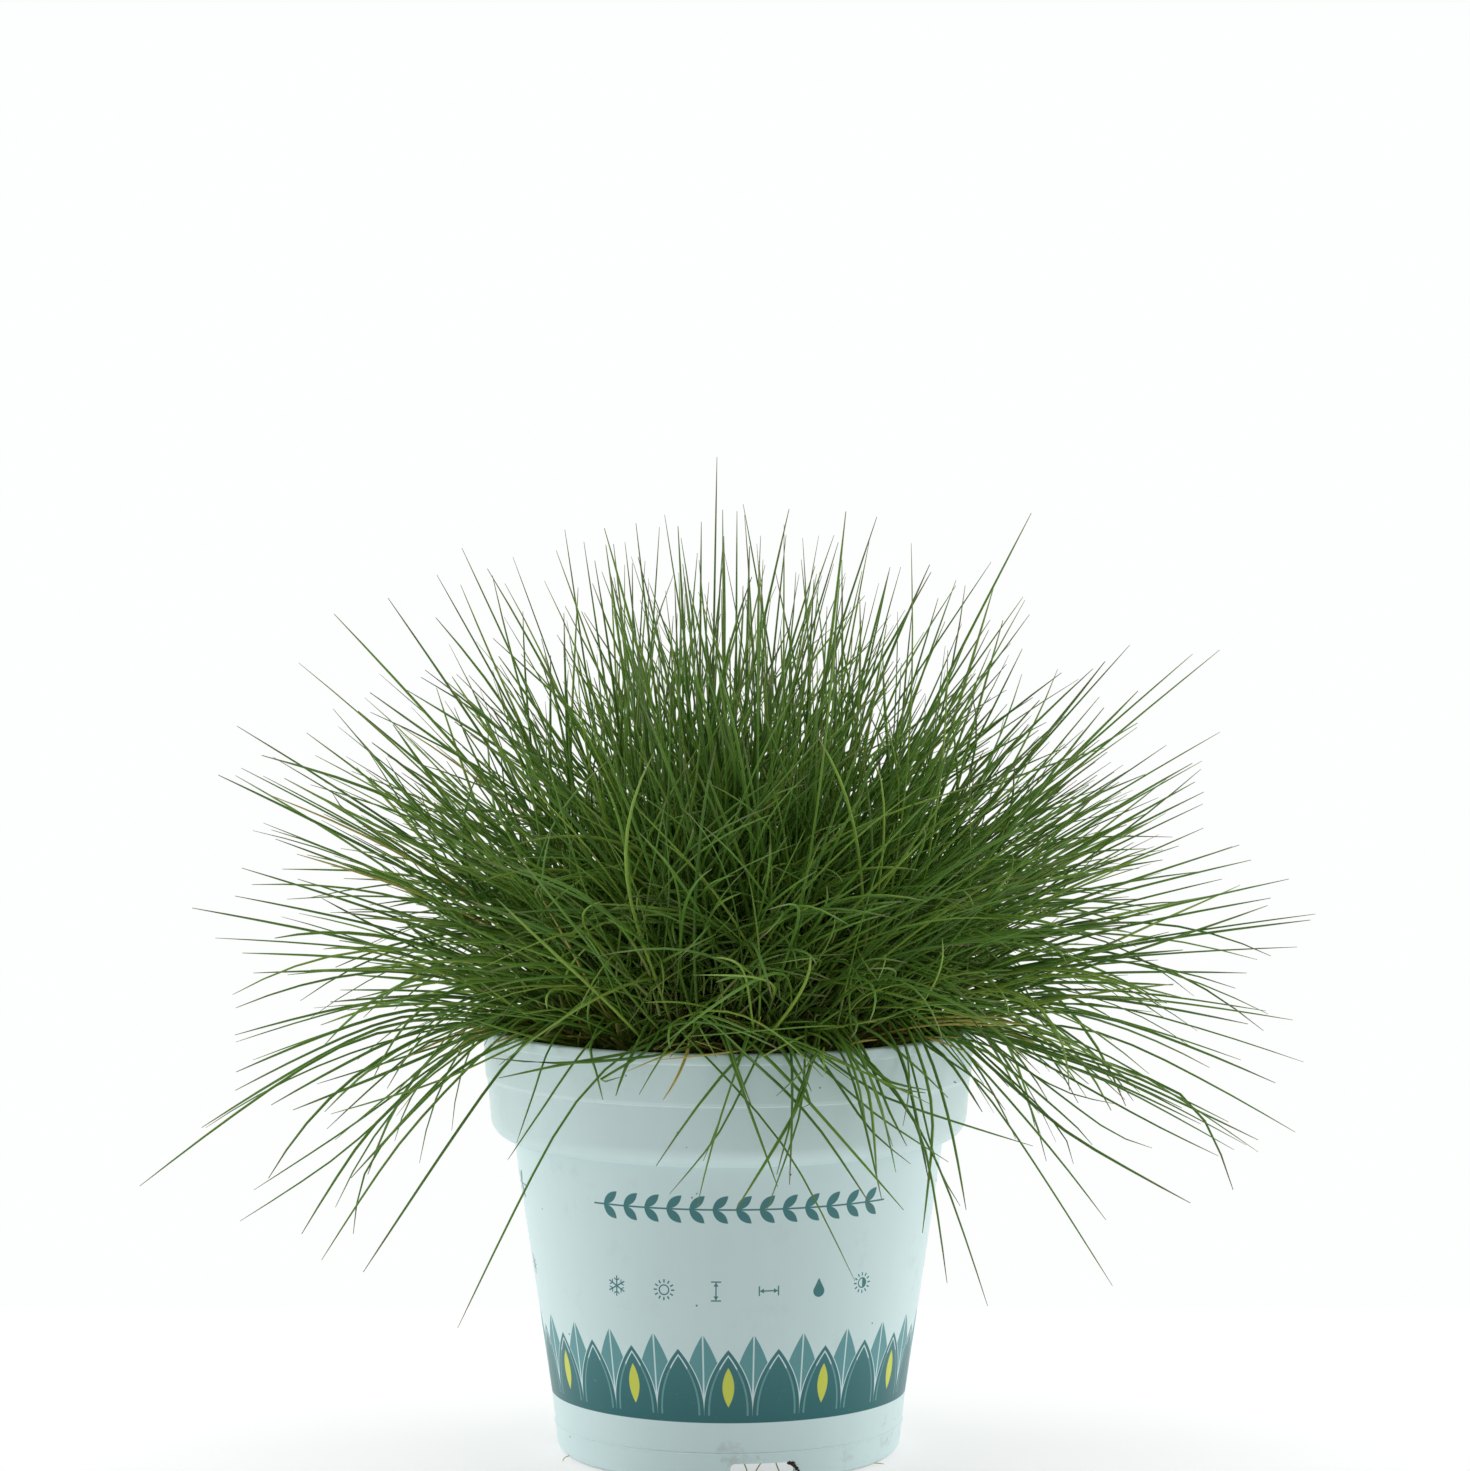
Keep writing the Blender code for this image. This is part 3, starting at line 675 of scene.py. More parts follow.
def care_signs(along, up):
    """Six plain care signs in a row: frost, sun, height, spread, drop and half sun."""
    x = folded(along - SIGN_PITCH / 2, SIGN_PITCH)
    number = (along - x) / SIGN_PITCH + 2.5
    distance = length_of(x, up)
    turn = x.math("ARCTAN2", up)

    def spoke_place(count):
        """How far out along the nearest of a sign's spokes a place is, and how far beside it."""
        local = folded(turn, math.tau / count)
        return distance * local.math("COSINE"), distance * local.math("SINE")

    def spokes(count, start, end, width):
        return bar(*spoke_place(count), start, end, width)

    def arrow(a, b):
        shaft = bar(a, b, -2.3 * MM, 2.3 * MM, SIGN_LINE)
        stops = bar(b, abs(a) - 2.5 * MM, -1.3 * MM, 1.3 * MM, SIGN_LINE)
        head = (abs(b) * 1.6 + abs(a)).below(2.35 * MM, PRINT_SOFT) * abs(a).above(1.3 * MM, PRINT_SOFT)
        return larger(larger(shaft, stops), head)

    disc = distance.below(1.45 * MM, PRINT_SOFT)
    ring = disc * distance.above(1.1 * MM, PRINT_SOFT)
    sun = larger(ring, spokes(12, 1.9 * MM, 2.8 * MM, 0.4 * MM))
    half_sun = larger(sun, disc * x.above(0, 0.05 * MM))
    belly = length_of(x, up + 0.8 * MM).below(1.6 * MM, PRINT_SOFT)
    point = (abs(x) * 2 + up).below(2.7 * MM, 0.1 * MM) * up.above(-0.2 * MM, 0.05 * MM)
    drop = larger(belly, point)
    outward, beside = spoke_place(6)
    beside = abs(beside)
    barbs = abs(outward - beside * 0.7 - 1.45 * MM).below(0.18 * MM, PRINT_SOFT)
    barbs = barbs * beside.below(0.85 * MM, PRINT_SOFT)
    frost = larger(spokes(6, 0, 2.7 * MM, 0.38 * MM), barbs)
    signs = None
    for index, sign in enumerate((frost, sun, arrow(up, x), arrow(x, up), drop, half_sun)):
        chosen = sign * abs(number - index).below(0.5, 0.01)
        signs = chosen if signs is None else signs + chosen
    return signs * abs(along).below(SIGN_PITCH * 3, 0.01 * MM)


def pot_plastic():
    """Pale mint moulded plastic, printed in teal and yellow-green, with scuffs, a little soil dust and a
    painted highlight along the step.
    """
    finish = Finish("mint plastic", Specular_IOR_Level=0.4)
    vector = finish.place()
    x, y, z = finish.apart(vector)
    azimuth = x.math("ARCTAN2", y * -1)
    radius = length_of(x, y)
    outside = radius.above(INSIDE_RADIUS, 0.1 * MM)

    along = folded(azimuth - PANEL_TURN, math.tau / PANELS) * radius
    ink, back_ink, accent = petal_border(azimuth, z, radius)
    ink = larger(ink, garland(along, z - GARLAND_HEIGHT))
    ink = larger(ink, care_signs(along, z - SIGNS_HEIGHT))
    on_wall = outside * between(z, WALL_FOOT - 0.05 * MM, WALL_TOP)

    streaks = finish.node("ShaderNodeMapping", {}, {"Vector": vector, "Scale": (1, 1, 0.06)})
    flow = finish.noise(streaks, 260, 3)
    clouds = finish.noise(vector, 38, 4, 0.6)
    fine = finish.noise(vector, 900, 3, 0.6)
    plastic = finish.mix(clouds, (0.575, 0.725, 0.725), (0.62, 0.775, 0.775))
    plastic = finish.mix(flow * 0.25, plastic, (0.51, 0.66, 0.67))
    # Painted highlight: a pale band along the step's edge, where the moulded ridge would catch light.
    painted_step_highlight = between(z, STEP_HEIGHT - 0.2 * MM, STEP_HEIGHT + 0.7 * MM)
    plastic = finish.mix(painted_step_highlight * outside * 0.5, plastic, (0.72, 0.86, 0.86))
    fade = (z - WALL_FOOT) / (22 * MM)
    teal = finish.mix(fade, (0.012, 0.125, 0.135), (0.040, 0.180, 0.190))
    worn_ink = fine.below(0.72, 0.1) * 0.14 + 0.86
    printed = finish.mix(back_ink * on_wall * worn_ink, plastic, (0.105, 0.295, 0.31))
    printed = finish.mix(ink * on_wall * worn_ink, printed, teal)
    printed = finish.mix(accent * on_wall * worn_ink, printed, (0.58, 0.63, 0.075))

    smudges = finish.noise(vector, 70, 6, 0.7).above(0.66, 0.14)
    low = z.below(15 * MM, 30 * MM)
    inner = 1 - outside
    dust = smudges * (low * 0.35 + 0.10) + inner * 0.45 * fine
    colour = finish.mix(dust, printed, (0.16, 0.12, 0.075))
    specks = finish.node("ShaderNodeTexVoronoi", {}, {"Vector": vector, "Scale": 95})
    speck = specks.below(0.028, 0.01)
    colour = finish.mix(speck * 0.75, colour, (0.07, 0.05, 0.03))
    finish.bump(fine * 0.35 + flow * 0.65, 0.12, 0.2 * MM)
    rough = clouds * 0.12 + smudges * 0.1 + 0.38 - ink * on_wall * 0.08
    return finish.surface(Base_Color=colour, Roughness=rough)


def make_pot():
    pot = turned("nursery_pot", pot_profile(), POT_SIDES)
    for i in range(NOTCHES):
        cut(pot, notch_cutter(FIRST_NOTCH + math.tau * i / NOTCHES))
    for i in range(HOLES):
        middle = out_at(FIRST_NOTCH + math.tau * i / HOLES) * HOLE_DISTANCE
        middle.z = BASE_RAISED
        deselect()
        bpy.ops.mesh.primitive_cylinder_add(vertices=32, radius=HOLE_RADIUS, depth=4 * MM, location=middle)
        cut(pot, place_in_mesh("hole"))
    shade(pot, 32)
    pot.data.materials.append(pot_plastic())
    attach(pot, "root")
    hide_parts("pot")


# Soil and crown


def soil_finish():
    finish = Finish("potting soil", Roughness=0.95)
    vector = finish.place()
    coarse = finish.noise(vector, 240, 5, 0.7)
    fine = finish.noise(vector, 1500, 4, 0.7)
    colour = finish.mix(coarse.above(0.5, 0.25), (0.010, 0.006, 0.004), (0.045, 0.026, 0.014))
    colour = finish.mix(fine.above(0.66, 0.1) * 0.5, colour, (0.12, 0.075, 0.04))
    finish.bump(fine + coarse, 0.7, 0.8 * MM)
    return finish.surface(Base_Color=colour)


def crumb_finish():
    """Peat crumbs and bark chips: each has its own tone."""
    finish = Finish("peat and bark", Roughness=0.9)
    tone = finish.attribute("tone")
    grain = finish.noise(finish.place(), 2200, 3, 0.6)
    colour = finish.mix(tone, (0.012, 0.008, 0.005), (0.085, 0.045, 0.02))
    colour = finish.mix(tone.above(0.94, 0.02), colour, (0.34, 0.27, 0.18))
    colour = finish.mix(grain * 0.6, colour, (0.02, 0.013, 0.008))
    finish.bump(grain, 0.5, 0.3 * MM)
    return finish.surface(Base_Color=colour)


def crown_height(radius):
    """The height of the crown's dome at a distance from its middle."""
    return CROWN_EDGE + CROWN_RISE * (1 - (radius / CROWN_RADIUS) ** 2)


def rough_up(piece, scale, depth, where):
    """Moves the corners up and down by noise, where the given function of a corner allows it."""
    co = corners_of(piece)
    for i, corner in enumerate(co):
        share = where(corner)
        if share:
            wave = noise.fractal(Vector(corner) * scale, 1.0, 2.0, 4)
            co[i, 2] += share * depth * wave
    set_corners(piece, co)


def make_soil(finish):
    edge = COLLAR_FOOT_RADIUS - WALL - SOIL_GAP
    foot = BASE_RAISED + WALL + SOIL_GAP
    top = SOIL_TOP - 0.3 * MM
    profile = [
        (1 * MM, foot),
        (FOOT_RADIUS - WALL - 0.5 * MM, foot),
        (WALL_FOOT_RADIUS - WALL - SOIL_GAP, WALL_FOOT),
        (WALL_TOP_RADIUS - WALL - SOIL_GAP, WALL_TOP),
        (LEDGE_RADIUS - WALL - 0.5 * MM, LEDGE_HEIGHT),
        (edge, COLLAR_FOOT + 0.3 * MM),
        (edge, SOIL_TOP - 1.5 * MM),
        *((radius, top) for radius in np.arange(edge - 0.4 * MM, 20 * MM, -SOIL_STEP)),
        (2 * MM, top),
    ]
    soil = turned("root_ball", profile, 160)

    def on_top(corner):
        radius = math.hypot(corner[0], corner[1])
        return min(1, max(0, (edge - radius) / (2 * MM))) if corner[2] > SOIL_TOP - 1 * MM else 0

    rough_up(soil, 160, 2.2 * MM, on_top)
    shade(soil, 60)
    soil.data.materials.append(finish)
    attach(soil, "root")
    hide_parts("soil")


def turn_matrices(count):
    """Random turns, as (count, 3, 3)."""
    q = dice.normal(size=(count, 4))
    q /= np.linalg.norm(q, axis=1)[:, None]
    w, x, y, z = q.T
    rows = [
        [1 - 2 * (y * y + z * z), 2 * (x * y - w * z), 2 * (x * z + w * y)],
        [2 * (x * y + w * z), 1 - 2 * (x * x + z * z), 2 * (y * z - w * x)],
        [2 * (x * z - w * y), 2 * (y * z + w * x), 1 - 2 * (x * x + y * y)],
    ]
    return np.array(rows).transpose(2, 0, 1)


def lumpy_grain():
    """A ball for joined_copies to copy, and its corners moved to make it lumpy."""
    deselect()
    bpy.ops.mesh.primitive_ico_sphere_add(subdivisions=1, radius=1)
    grain = place_in_mesh("grain")
    return grain, corners_of(grain) * dice.uniform(0.7, 1.2, (len(grain.data.vertices), 1))


def make_crumbs(finish):
    """Crumbs of peat and chips of bark, copied from one lumpy grain and pressed into the soil's top."""
    grain, shape = lumpy_grain()
    count = CRUMBS + CHIPS
    size = np.concatenate([dice.gamma(3, 0.22, CRUMBS) * MM, dice.uniform(0.9, 2.4, CHIPS) * MM])
    size = np.clip(size, 0.25 * MM, 2.6 * MM)
    flat = np.ones((count, 3))
    flat[:, 1] = dice.uniform(0.5, 0.9, count)
    flat[:, 2] = dice.uniform(0.45, 0.8, count)
    flat[CRUMBS:, 2] = 0.25
    turns = turn_matrices(count)
    edge = COLLAR_FOOT_RADIUS - WALL - 0.4 * MM
    radius = np.sqrt(dice.uniform((CROWN_RADIUS * 0.62) ** 2, (edge - 0.8 * MM) ** 2, count))
    radius = np.minimum(radius, edge - size * 1.05)
    azimuth = dice.uniform(0, math.tau, count)
    height = SOIL_TOP + np.maximum(0, (CROWN_RADIUS - radius)) * 0.3 + size * 0.15
    height = height + dice.uniform(0, 1.2 * MM, count)
    corners = shape[None] * (flat * size[:, None])[:, None, :]
    corners = np.einsum("nij,nvj->nvi", turns, corners) + polar(radius, azimuth, height)[:, None, :]
    tone = dice.beta(1.3, 2.6, count)
    crumbs = joined_copies("soil_crumbs", grain, corners, {"tone": tone})
    bpy.data.objects.remove(grain)
    crumbs.data.materials.append(finish)
    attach(crumbs, "root")


def make_specks(finish):
    grain, shape = lumpy_grain()
    rows = np.array(SPECKS) * MM
    count = len(rows)
    turned_shape = np.einsum("nij,vj->nvi", turn_matrices(count), shape)
    corners = turned_shape * rows[:, 3, None, None] + rows[:, None, :3]
    specks = joined_copies("stuck_dirt", grain, corners, {"tone": dice.uniform(0.1, 0.5, count)})
    bpy.data.objects.remove(grain)
    specks.data.materials.append(finish)
    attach(specks, "root")


def crown_finish():
    finish = Finish("old sheaths", Roughness=0.85)
    fibres = finish.node("ShaderNodeMapping", {}, {"Vector": finish.place(), "Scale": (1, 1, 0.2)})
    strands = finish.noise(fibres, 900, 4, 0.7)
    colour = finish.mix(strands, (0.018, 0.016, 0.008), (0.11, 0.095, 0.04))
    finish.bump(strands, 0.8, 0.8 * MM)
    return finish.surface(Base_Color=colour)


def make_crown(finish):
    shares = np.linspace(0.99, 0.04, 30)
    dome = [(CROWN_RADIUS * s, crown_height(CROWN_RADIUS * s) - 1 * MM) for s in shares]
    foot = [(1 * MM, CROWN_FOOT), (CROWN_RADIUS * 0.97, CROWN_FOOT)]
    crown = turned("crown_clump", [*foot, *dome], 120)
    rough_up(crown, 220, 2 * MM, lambda corner: 1 if corner[2] > SOIL_TOP else 0)
    shade(crown, 60)
    crown.data.materials.append(finish)
    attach(crown, "root")
    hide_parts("crown")


# Leaves


def leaf_master():
    """A needle leaf one long and one wide: a four-sided ring extruded and narrowed up to a point."""
    deselect()
    bpy.ops.mesh.primitive_circle_add(vertices=4, radius=0.5, fill_type="NGON")
    bpy.ops.object.mode_set(mode="EDIT")
    bpy.ops.mesh.select_all(action="SELECT")
    bpy.ops.transform.resize(value=(1, LEAF_FLATNESS, 1))
    width = 1
    for ring in range(1, RINGS + 1):
        share = ring / RINGS
        wanted = taper(share)
        bpy.ops.mesh.extrude_region_move(TRANSFORM_OT_translate={"value": (0, 0, 1 / RINGS)})
        bpy.ops.transform.resize(value=(wanted / width, wanted / width, 1))
        width = wanted
    bpy.ops.object.mode_set(mode="OBJECT")
    return place_in_mesh("leaf_master")


def taper(share):
    """A leaf's width at a share of its length: full for most of it, then thinning to a fine point."""
    full = min(1, LEAF_FOOT_WIDTH + 1.2 * share)
    return LEAF_TIP_WIDTH + (1 - LEAF_TIP_WIDTH) * full * (1 - share**6) ** 0.8


def leaf_lines(root, azimuth, start, end, length, swing, wobble):
    """Each leaf's middle line at the master's rings, with its frame there: points, across and upper."""
    steps = RINGS * SUBSTEPS
    t = (np.arange(steps) + 0.5) / steps
    tilt = start[:, None] + (end - start)[:, None] * (1 - (1 - t[None]) ** BEND_POWER)
    tilt = tilt + wobble[:, :1] * np.sin(t * 5 + wobble[:, 1:2] * 40)
    turn = azimuth[:, None] + swing[:, None] * t[None] ** 1.4 + wobble[:, 2:] * np.sin(t * 4)
    travelled = np.cumsum(towards(tilt, turn), axis=1) * (length / steps)[:, None, None]
    points = np.concatenate([root[:, None], root[:, None] + travelled], axis=1)
    return framed(over_rim(points)[:, ::SUBSTEPS], azimuth)


def framed(points, azimuth):
    """Points with the sideways and upper directions there, for leaves that start out at an azimuth."""
    tangent = np.gradient(points, axis=1)
    tangent /= np.linalg.norm(tangent, axis=2)[:, :, None]
    across = np.stack([np.cos(azimuth), np.sin(azimuth), np.zeros_like(azimuth)], axis=1)[:, None]
    across = across - tangent * (across * tangent).sum(2)[:, :, None]
    across /= np.linalg.norm(across, axis=2)[:, :, None]
    return points, across, np.cross(across, tangent)


def over_rim(points):
    """Leaves that would cut the pot's rim are lifted over it, from where they leave the crown outwards."""
    radius = np.hypot(points[..., 0], points[..., 1])
    rim_inside = LIP_RADIUS - RIM_WIDTH
    on_rim = (radius > rim_inside - 1 * MM) & (radius < LIP_RADIUS + 1 * MM)
    short = np.where(on_rim, POT_HEIGHT + RIM_CLEARANCE - points[..., 2], 0).clip(0)
    lift = short.max(axis=1, keepdims=True)
    lift_start = CROWN_RADIUS * 0.8
    share = ((radius - lift_start) / (rim_inside - lift_start)).clip(0, 1)
    share = share * share * (3 - 2 * share)
    points = points.copy()
    points[..., 2] += lift * np.maximum.accumulate(share, axis=1)
    return points


def grow_leaves(name, master, lines, width, roll, tone, dry):
    """A mesh of needle leaves: the master leaf bent along each line and rolled about it."""
    points, across, upper = lines
    count = len(points)
    shape = corners_of(master)
    ring = np.rint(shape[:, 2] * RINGS).astype(int)
    cos, sin = np.cos(roll)[:, None], np.sin(roll)[:, None]
    side = (shape[None, :, 0] * cos - shape[None, :, 1] * sin) * width[:, None]
    up = (shape[None, :, 0] * sin + shape[None, :, 1] * cos) * width[:, None]
    corners = points[:, ring] + across[:, ring] * side[..., None] + upper[:, ring] * up[..., None]
    along = np.broadcast_to(shape[:, 2], (count, len(shape)))
    leaves = joined_copies(name, master, corners, {"tone": tone, "dry": dry, "along": along})
    lay_out(leaves, master, count, shape)
    return leaves


def lay_out(leaves, master, count, shape):
    """A map for the leaves: a column for each leaf, with its length upwards."""
    quarter = np.rint(np.arctan2(shape[:, 1] / LEAF_FLATNESS, shape[:, 0]) / (math.pi / 2)) % 4
    columns = []
    rows = []
    for polygon in master.data.polygons:
        quarters = [quarter[v] for v in polygon.vertices]
        crossing = max(quarters) - min(quarters) > 2
        for v in polygon.vertices:
            columns.append((quarter[v] + (4 if crossing and quarter[v] == 0 else 0)) / 4)
            rows.append(shape[v, 2])
    columns = np.array(columns)
    rows = np.array(rows)
    u = (np.arange(count)[:, None] + 0.05 + 0.9 * columns[None]) / count
    v = np.broadcast_to(0.01 + 0.98 * rows, u.shape)
    uv = leaves.data.uv_layers.new(name="OFBake")
    uv.data.foreach_set("uv", np.stack([u, v], axis=2).astype(np.float32).ravel())


def leaf_finish():
    """Needle leaves: each its own green, pale at the foot partly by nature and partly as painted fill
    light, browned at the very tip, and some dry.
    """
    finish = Finish("needle leaves", Roughness=0.5, Specular_IOR_Level=0.25)
    tone = finish.attribute("tone")
    dry = finish.attribute("dry")
    along = finish.attribute("along")
    mottle = finish.noise(finish.place(), 160, 3, 0.6)
    green = finish.mix(tone.below(0.5, 0.9), (0.104, 0.248, 0.017), (0.026, 0.086, 0.005))
    green = finish.mix(tone.above(0.8, 0.3) * 0.8, green, (0.25, 0.34, 0.045))
    green = finish.mix(mottle.above(0.55, 0.3) * 0.35, green, (0.045, 0.085, 0.012))
    # Paler towards the foot: partly the sheaths' own paler colour, partly painted fill light that lifts the
    # shade at the foot of the tussock.
    green = finish.mix(along.below(0.32, 0.5) * 0.48, green, (0.21, 0.36, 0.05))
    green = finish.mix(along.below(0.14, 0.24) * 0.75, green, (0.25, 0.26, 0.09))
    green = finish.mix(along.above(0.65, 0.6) * 0.45, green, (0.20, 0.37, 0.065))
    browned = along.above(0.92, 0.12) * (tone.below(0.4, 0.3) * 0.55 + 0.25)
    green = finish.mix(browned, green, (0.15, 0.12, 0.075))
    straw = finish.mix(mottle, (0.50, 0.43, 0.10), (0.33, 0.28, 0.08))
    return finish.surface(Base_Color=finish.mix(dry, green, straw))


def tilt_of(share):
    """The tilt of leaves that grow at a share of the crown's radius."""
    return np.arccos(1 - (1 - math.cos(LOWEST_TILT)) * share**TILT_POWER)


def share_of(tilt):
    """The share of the crown's radius at which leaves with a tilt grow."""
    return ((1 - np.cos(tilt)) / (1 - math.cos(LOWEST_TILT))) ** (1 / TILT_POWER)


def crown_place(share, azimuth):
    """Where leaves leave the crown, a little inside it."""
    radius = CROWN_RADIUS * 0.95 * share
    return polar(radius, azimuth, crown_height(radius) - 2.5 * MM)


def towards(tilt, azimuth):
    """Directions one long, from tilts and azimuths."""
    return polar(np.sin(tilt), azimuth, np.cos(tilt))


def around(tilt, azimuth, spread):
    """Tilts and azimuths scattered about directions, as arrays."""
    aim = towards(tilt, azimuth)
    scattered = aim + dice.normal(0, spread, aim.shape)
    scattered /= np.linalg.norm(scattered, axis=1)[:, None]
    return np.arccos(scattered[:, 2].clip(-1, 1)), np.arctan2(scattered[:, 0], -scattered[:, 1])


def droop(mean, heading):
    """Leaves that point at the viewer hang less than the side ones, and on the left of the front least."""
    front = np.cos(heading).clip(0, 1) ** 1.5
    held = front * (0.17 - 0.12 * np.sin(heading))
    return np.minimum(mean * (1 - held * (mean / LOWEST_TILT) ** 2), LOWEST_MEAN)


def scattered_leaves(
    name, master, finish, root_share, root_azimuth, mean, heading, length, straight, look, sheath=None,
    fork=0,
):
    """A mesh of leaves from their places on the crown, mean directions and lengths.

    Those of a sheath sway alike. fork moves their feet off the crown, up the sheath that they part from.
    """
    count = len(mean)
    if sheath is None:
        sheath = np.arange(count)
    shared = SHARED_SWAY * dice.normal(0, 1, (sheath.max() + 1, 6))[sheath]
    sway = shared + OWN_SWAY * dice.normal(0, 1, (count, 6))
    start = mean * straight + START_SWAY * sway[:, 0]
    end = start + (mean - start) / BENT_SHARE + END_SWAY * sway[:, 1]
    root = crown_place(root_share, root_azimuth) + fork
    lines = leaf_lines(root, heading, start, end, length, SWING * sway[:, 2], WOBBLE * sway[:, 3:])
    width, tone, dry = look
    leaves = grow_leaves(name, master, lines, width, dice.uniform(0, math.pi, count), tone, dry)
    leaves.data.materials.append(finish)
    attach(leaves, "root")
    return leaves


def nearness(tilt, heading, spot, spread):
    """1 for leaves that point at a spot, given as its tilt and heading in degrees, and less further off."""
    aim_tilt, aim_heading = (math.radians(angle) for angle in spot)
    cosine = np.cos(tilt) * math.cos(aim_tilt)
    cosine = cosine + np.sin(tilt) * math.sin(aim_tilt) * np.cos(heading - aim_heading)
    return np.exp(-((np.arccos(cosine.clip(-1, 1)) / math.radians(spread)) ** 2))


def plenty(tilt, heading):
    """The share of leaves that grow in a direction: few hang low, on the left still fewer."""
    side = np.sin(heading)
    ahead = np.cos(heading).clip(0, 1)
    edge = np.radians(EDGE_TILT + 4 * side)
    hanging = (0.055 + 0.01 * side) * (1 - 0.9 * ahead)
    share = hanging + (0.5 - hanging) / (1 + np.exp((tilt - edge) / EDGE_SOFT))
    for spot, spread, more in BUNCHES:
        share = share + more * nearness(tilt, heading, spot, spread)
    return share.clip(0)


def make_tuft(number, master, finish):
    """The needle leaves that one packed tuft stands for.

    Those of a sheath grow from one place and lie together, and young ones part from it further up.
    """
    share = math.sqrt((number - 0.5) / TUFTS)
    azimuth = GOLDEN_ANGLE * (number - 1)
    tilts = np.full(SHEATHS_PER_TUFT, tilt_of(share))
    mean, heading = around(tilts, np.full(SHEATHS_PER_TUFT, azimuth), TUFT_SPREAD)
    leaf_counts = dice.poisson(LEAVES_PER_SHEATH * plenty(mean, heading))
    sheath = np.repeat(np.arange(SHEATHS_PER_TUFT), leaf_counts)
    count = len(sheath)
    pull = 0.62 * share**3
    middle = np.array([pull * math.sin(azimuth), -pull * math.cos(azimuth)])
    roots = middle + dice.normal(0, 0.55 - 0.12 * share, (SHEATHS_PER_TUFT, 2))
    x, y = (roots[sheath] + dice.normal(0, 0.03, (count, 2))).T
    root_share = np.hypot(x, y).clip(0, 1.02)
    root_azimuth = np.arctan2(x, -y)
    young = dice.uniform(0, 1, count) < YOUNG_SHARE
    fork = towards(mean[sheath], heading[sheath])
    spread = np.where(young, YOUNG_SPREAD, SHEATH_SPREAD)[:, None]
    mean, heading = around(mean[sheath], heading[sheath], spread)
    mean = np.minimum(droop(mean, heading), np.where(young, YOUNG_LOWEST_TILT, LOWEST_TILT))
    own_share = share_of(mean).clip(0, 1)
    longest = LONGEST_LEAF + (OUTER_LEAF - LONGEST_LEAF) * own_share
    shortest = 0.62 - 0.22 * own_share
    grown = dice.beta(2.6 - own_share, 1.5 + 0.4 * own_share, count)
    length = longest * (shortest + (0.99 - shortest) * grown)
    length *= np.where(young, dice.uniform(*YOUNG_LENGTHS, count), 1)
    fork = fork * fork[:, 2:].clip(0) * np.where(young, (longest - length) * FORK_SHARE, 0)[:, None]
    straight = dice.uniform(0.58, 0.95, count) - 0.22 * own_share**2
    width = LEAF_WIDTH * dice.uniform(0.6, 1.15, count)
    tone = (dice.uniform(0, 1, SHEATHS_PER_TUFT)[sheath] + dice.uniform(-0.3, 0.3, count)).clip(0, 1)
    dry = (dice.uniform(0, 1, count) < DRY_SHARE).astype(float)
    leaves = scattered_leaves(
        f"needle_leaves_{number:02d}", master, finish, root_share, root_azimuth, mean, heading,
        length, straight, (width, tone, dry), sheath, fork
    )
    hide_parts(f"leaf_tuft_{number:02d}")


def seen_at(column, row, depth):
    """The place that the photograph shows in a column and row, at a distance behind the pot's axis."""
    away = depth - CAMERA_PLACE[1]
    fall = math.tan(CAMERA_DOWN + math.atan((row - IMAGE_HEIGHT / 2) / FOCAL_PIXELS))
    x = CAMERA_PLACE[0] + (column - IMAGE_WIDTH / 2) * away / FOCAL_PIXELS
    return Vector((x, depth, CAMERA_PLACE[2] - away * fall))


def smooth_line(stops):
    """Evenly spaced points on a smooth line through the stops, one for each of a leaf's rings."""
    line = np.array(stops)
    for halving in range(4):
        longer = np.concatenate([2 * line[:1] - line[1:2], line, 2 * line[-1:] - line[-2:-1]])
        halfway = (longer[1:-2] + longer[2:-1]) * 9 / 16 - (longer[:-3] + longer[3:]) / 16
        line = np.insert(line, np.arange(1, len(line)), halfway, axis=0)
    walked = np.concatenate([[0], np.cumsum(np.linalg.norm(np.diff(line, axis=0), axis=1))])
    shares = np.linspace(0, walked[-1], RINGS + 1)
    return np.stack([np.interp(shares, walked, line[:, i]) for i in range(3)], axis=1)


def stray_line(azimuth, share, column, row, depth, bow):
    """The middle line of a leaf from the crown to where its tip is seen."""
    root = crown_place(share, math.radians(azimuth))
    tip = seen_at(column, row, depth * MM)
    middle = (Vector(root) + tip) / 2 + Vector((0, 0, bow * MM / 2))
    return over_rim(smooth_line([root, middle, tip])[None])[0]


def hanging_line(azimuth, middle_column, middle_row, column, row, depth):
    """The middle line of a leaf from the crown, just over the rim, and down to where its tip is seen."""
    azimuth = math.radians(azimuth)
    along = out_at(azimuth + math.pi / 2)
    rim = out_at(azimuth) * (LIP_RADIUS + 0.6 * MM)
    rim.z = POT_HEIGHT + 0.9 * MM
    tip = seen_at(column, row, depth * MM)
    middle = seen_at(middle_column, middle_row, (rim.y + tip.y) / 2)
    slant = (tip - rim).dot(along) / (60 * MM)
    root = Vector(crown_place(0.95, azimuth - max(-1, min(1, slant))))
    top = (root + rim) / 2
    top.z = POT_HEIGHT + 7 * MM
    return smooth_line([root, top, rim, middle, tip])


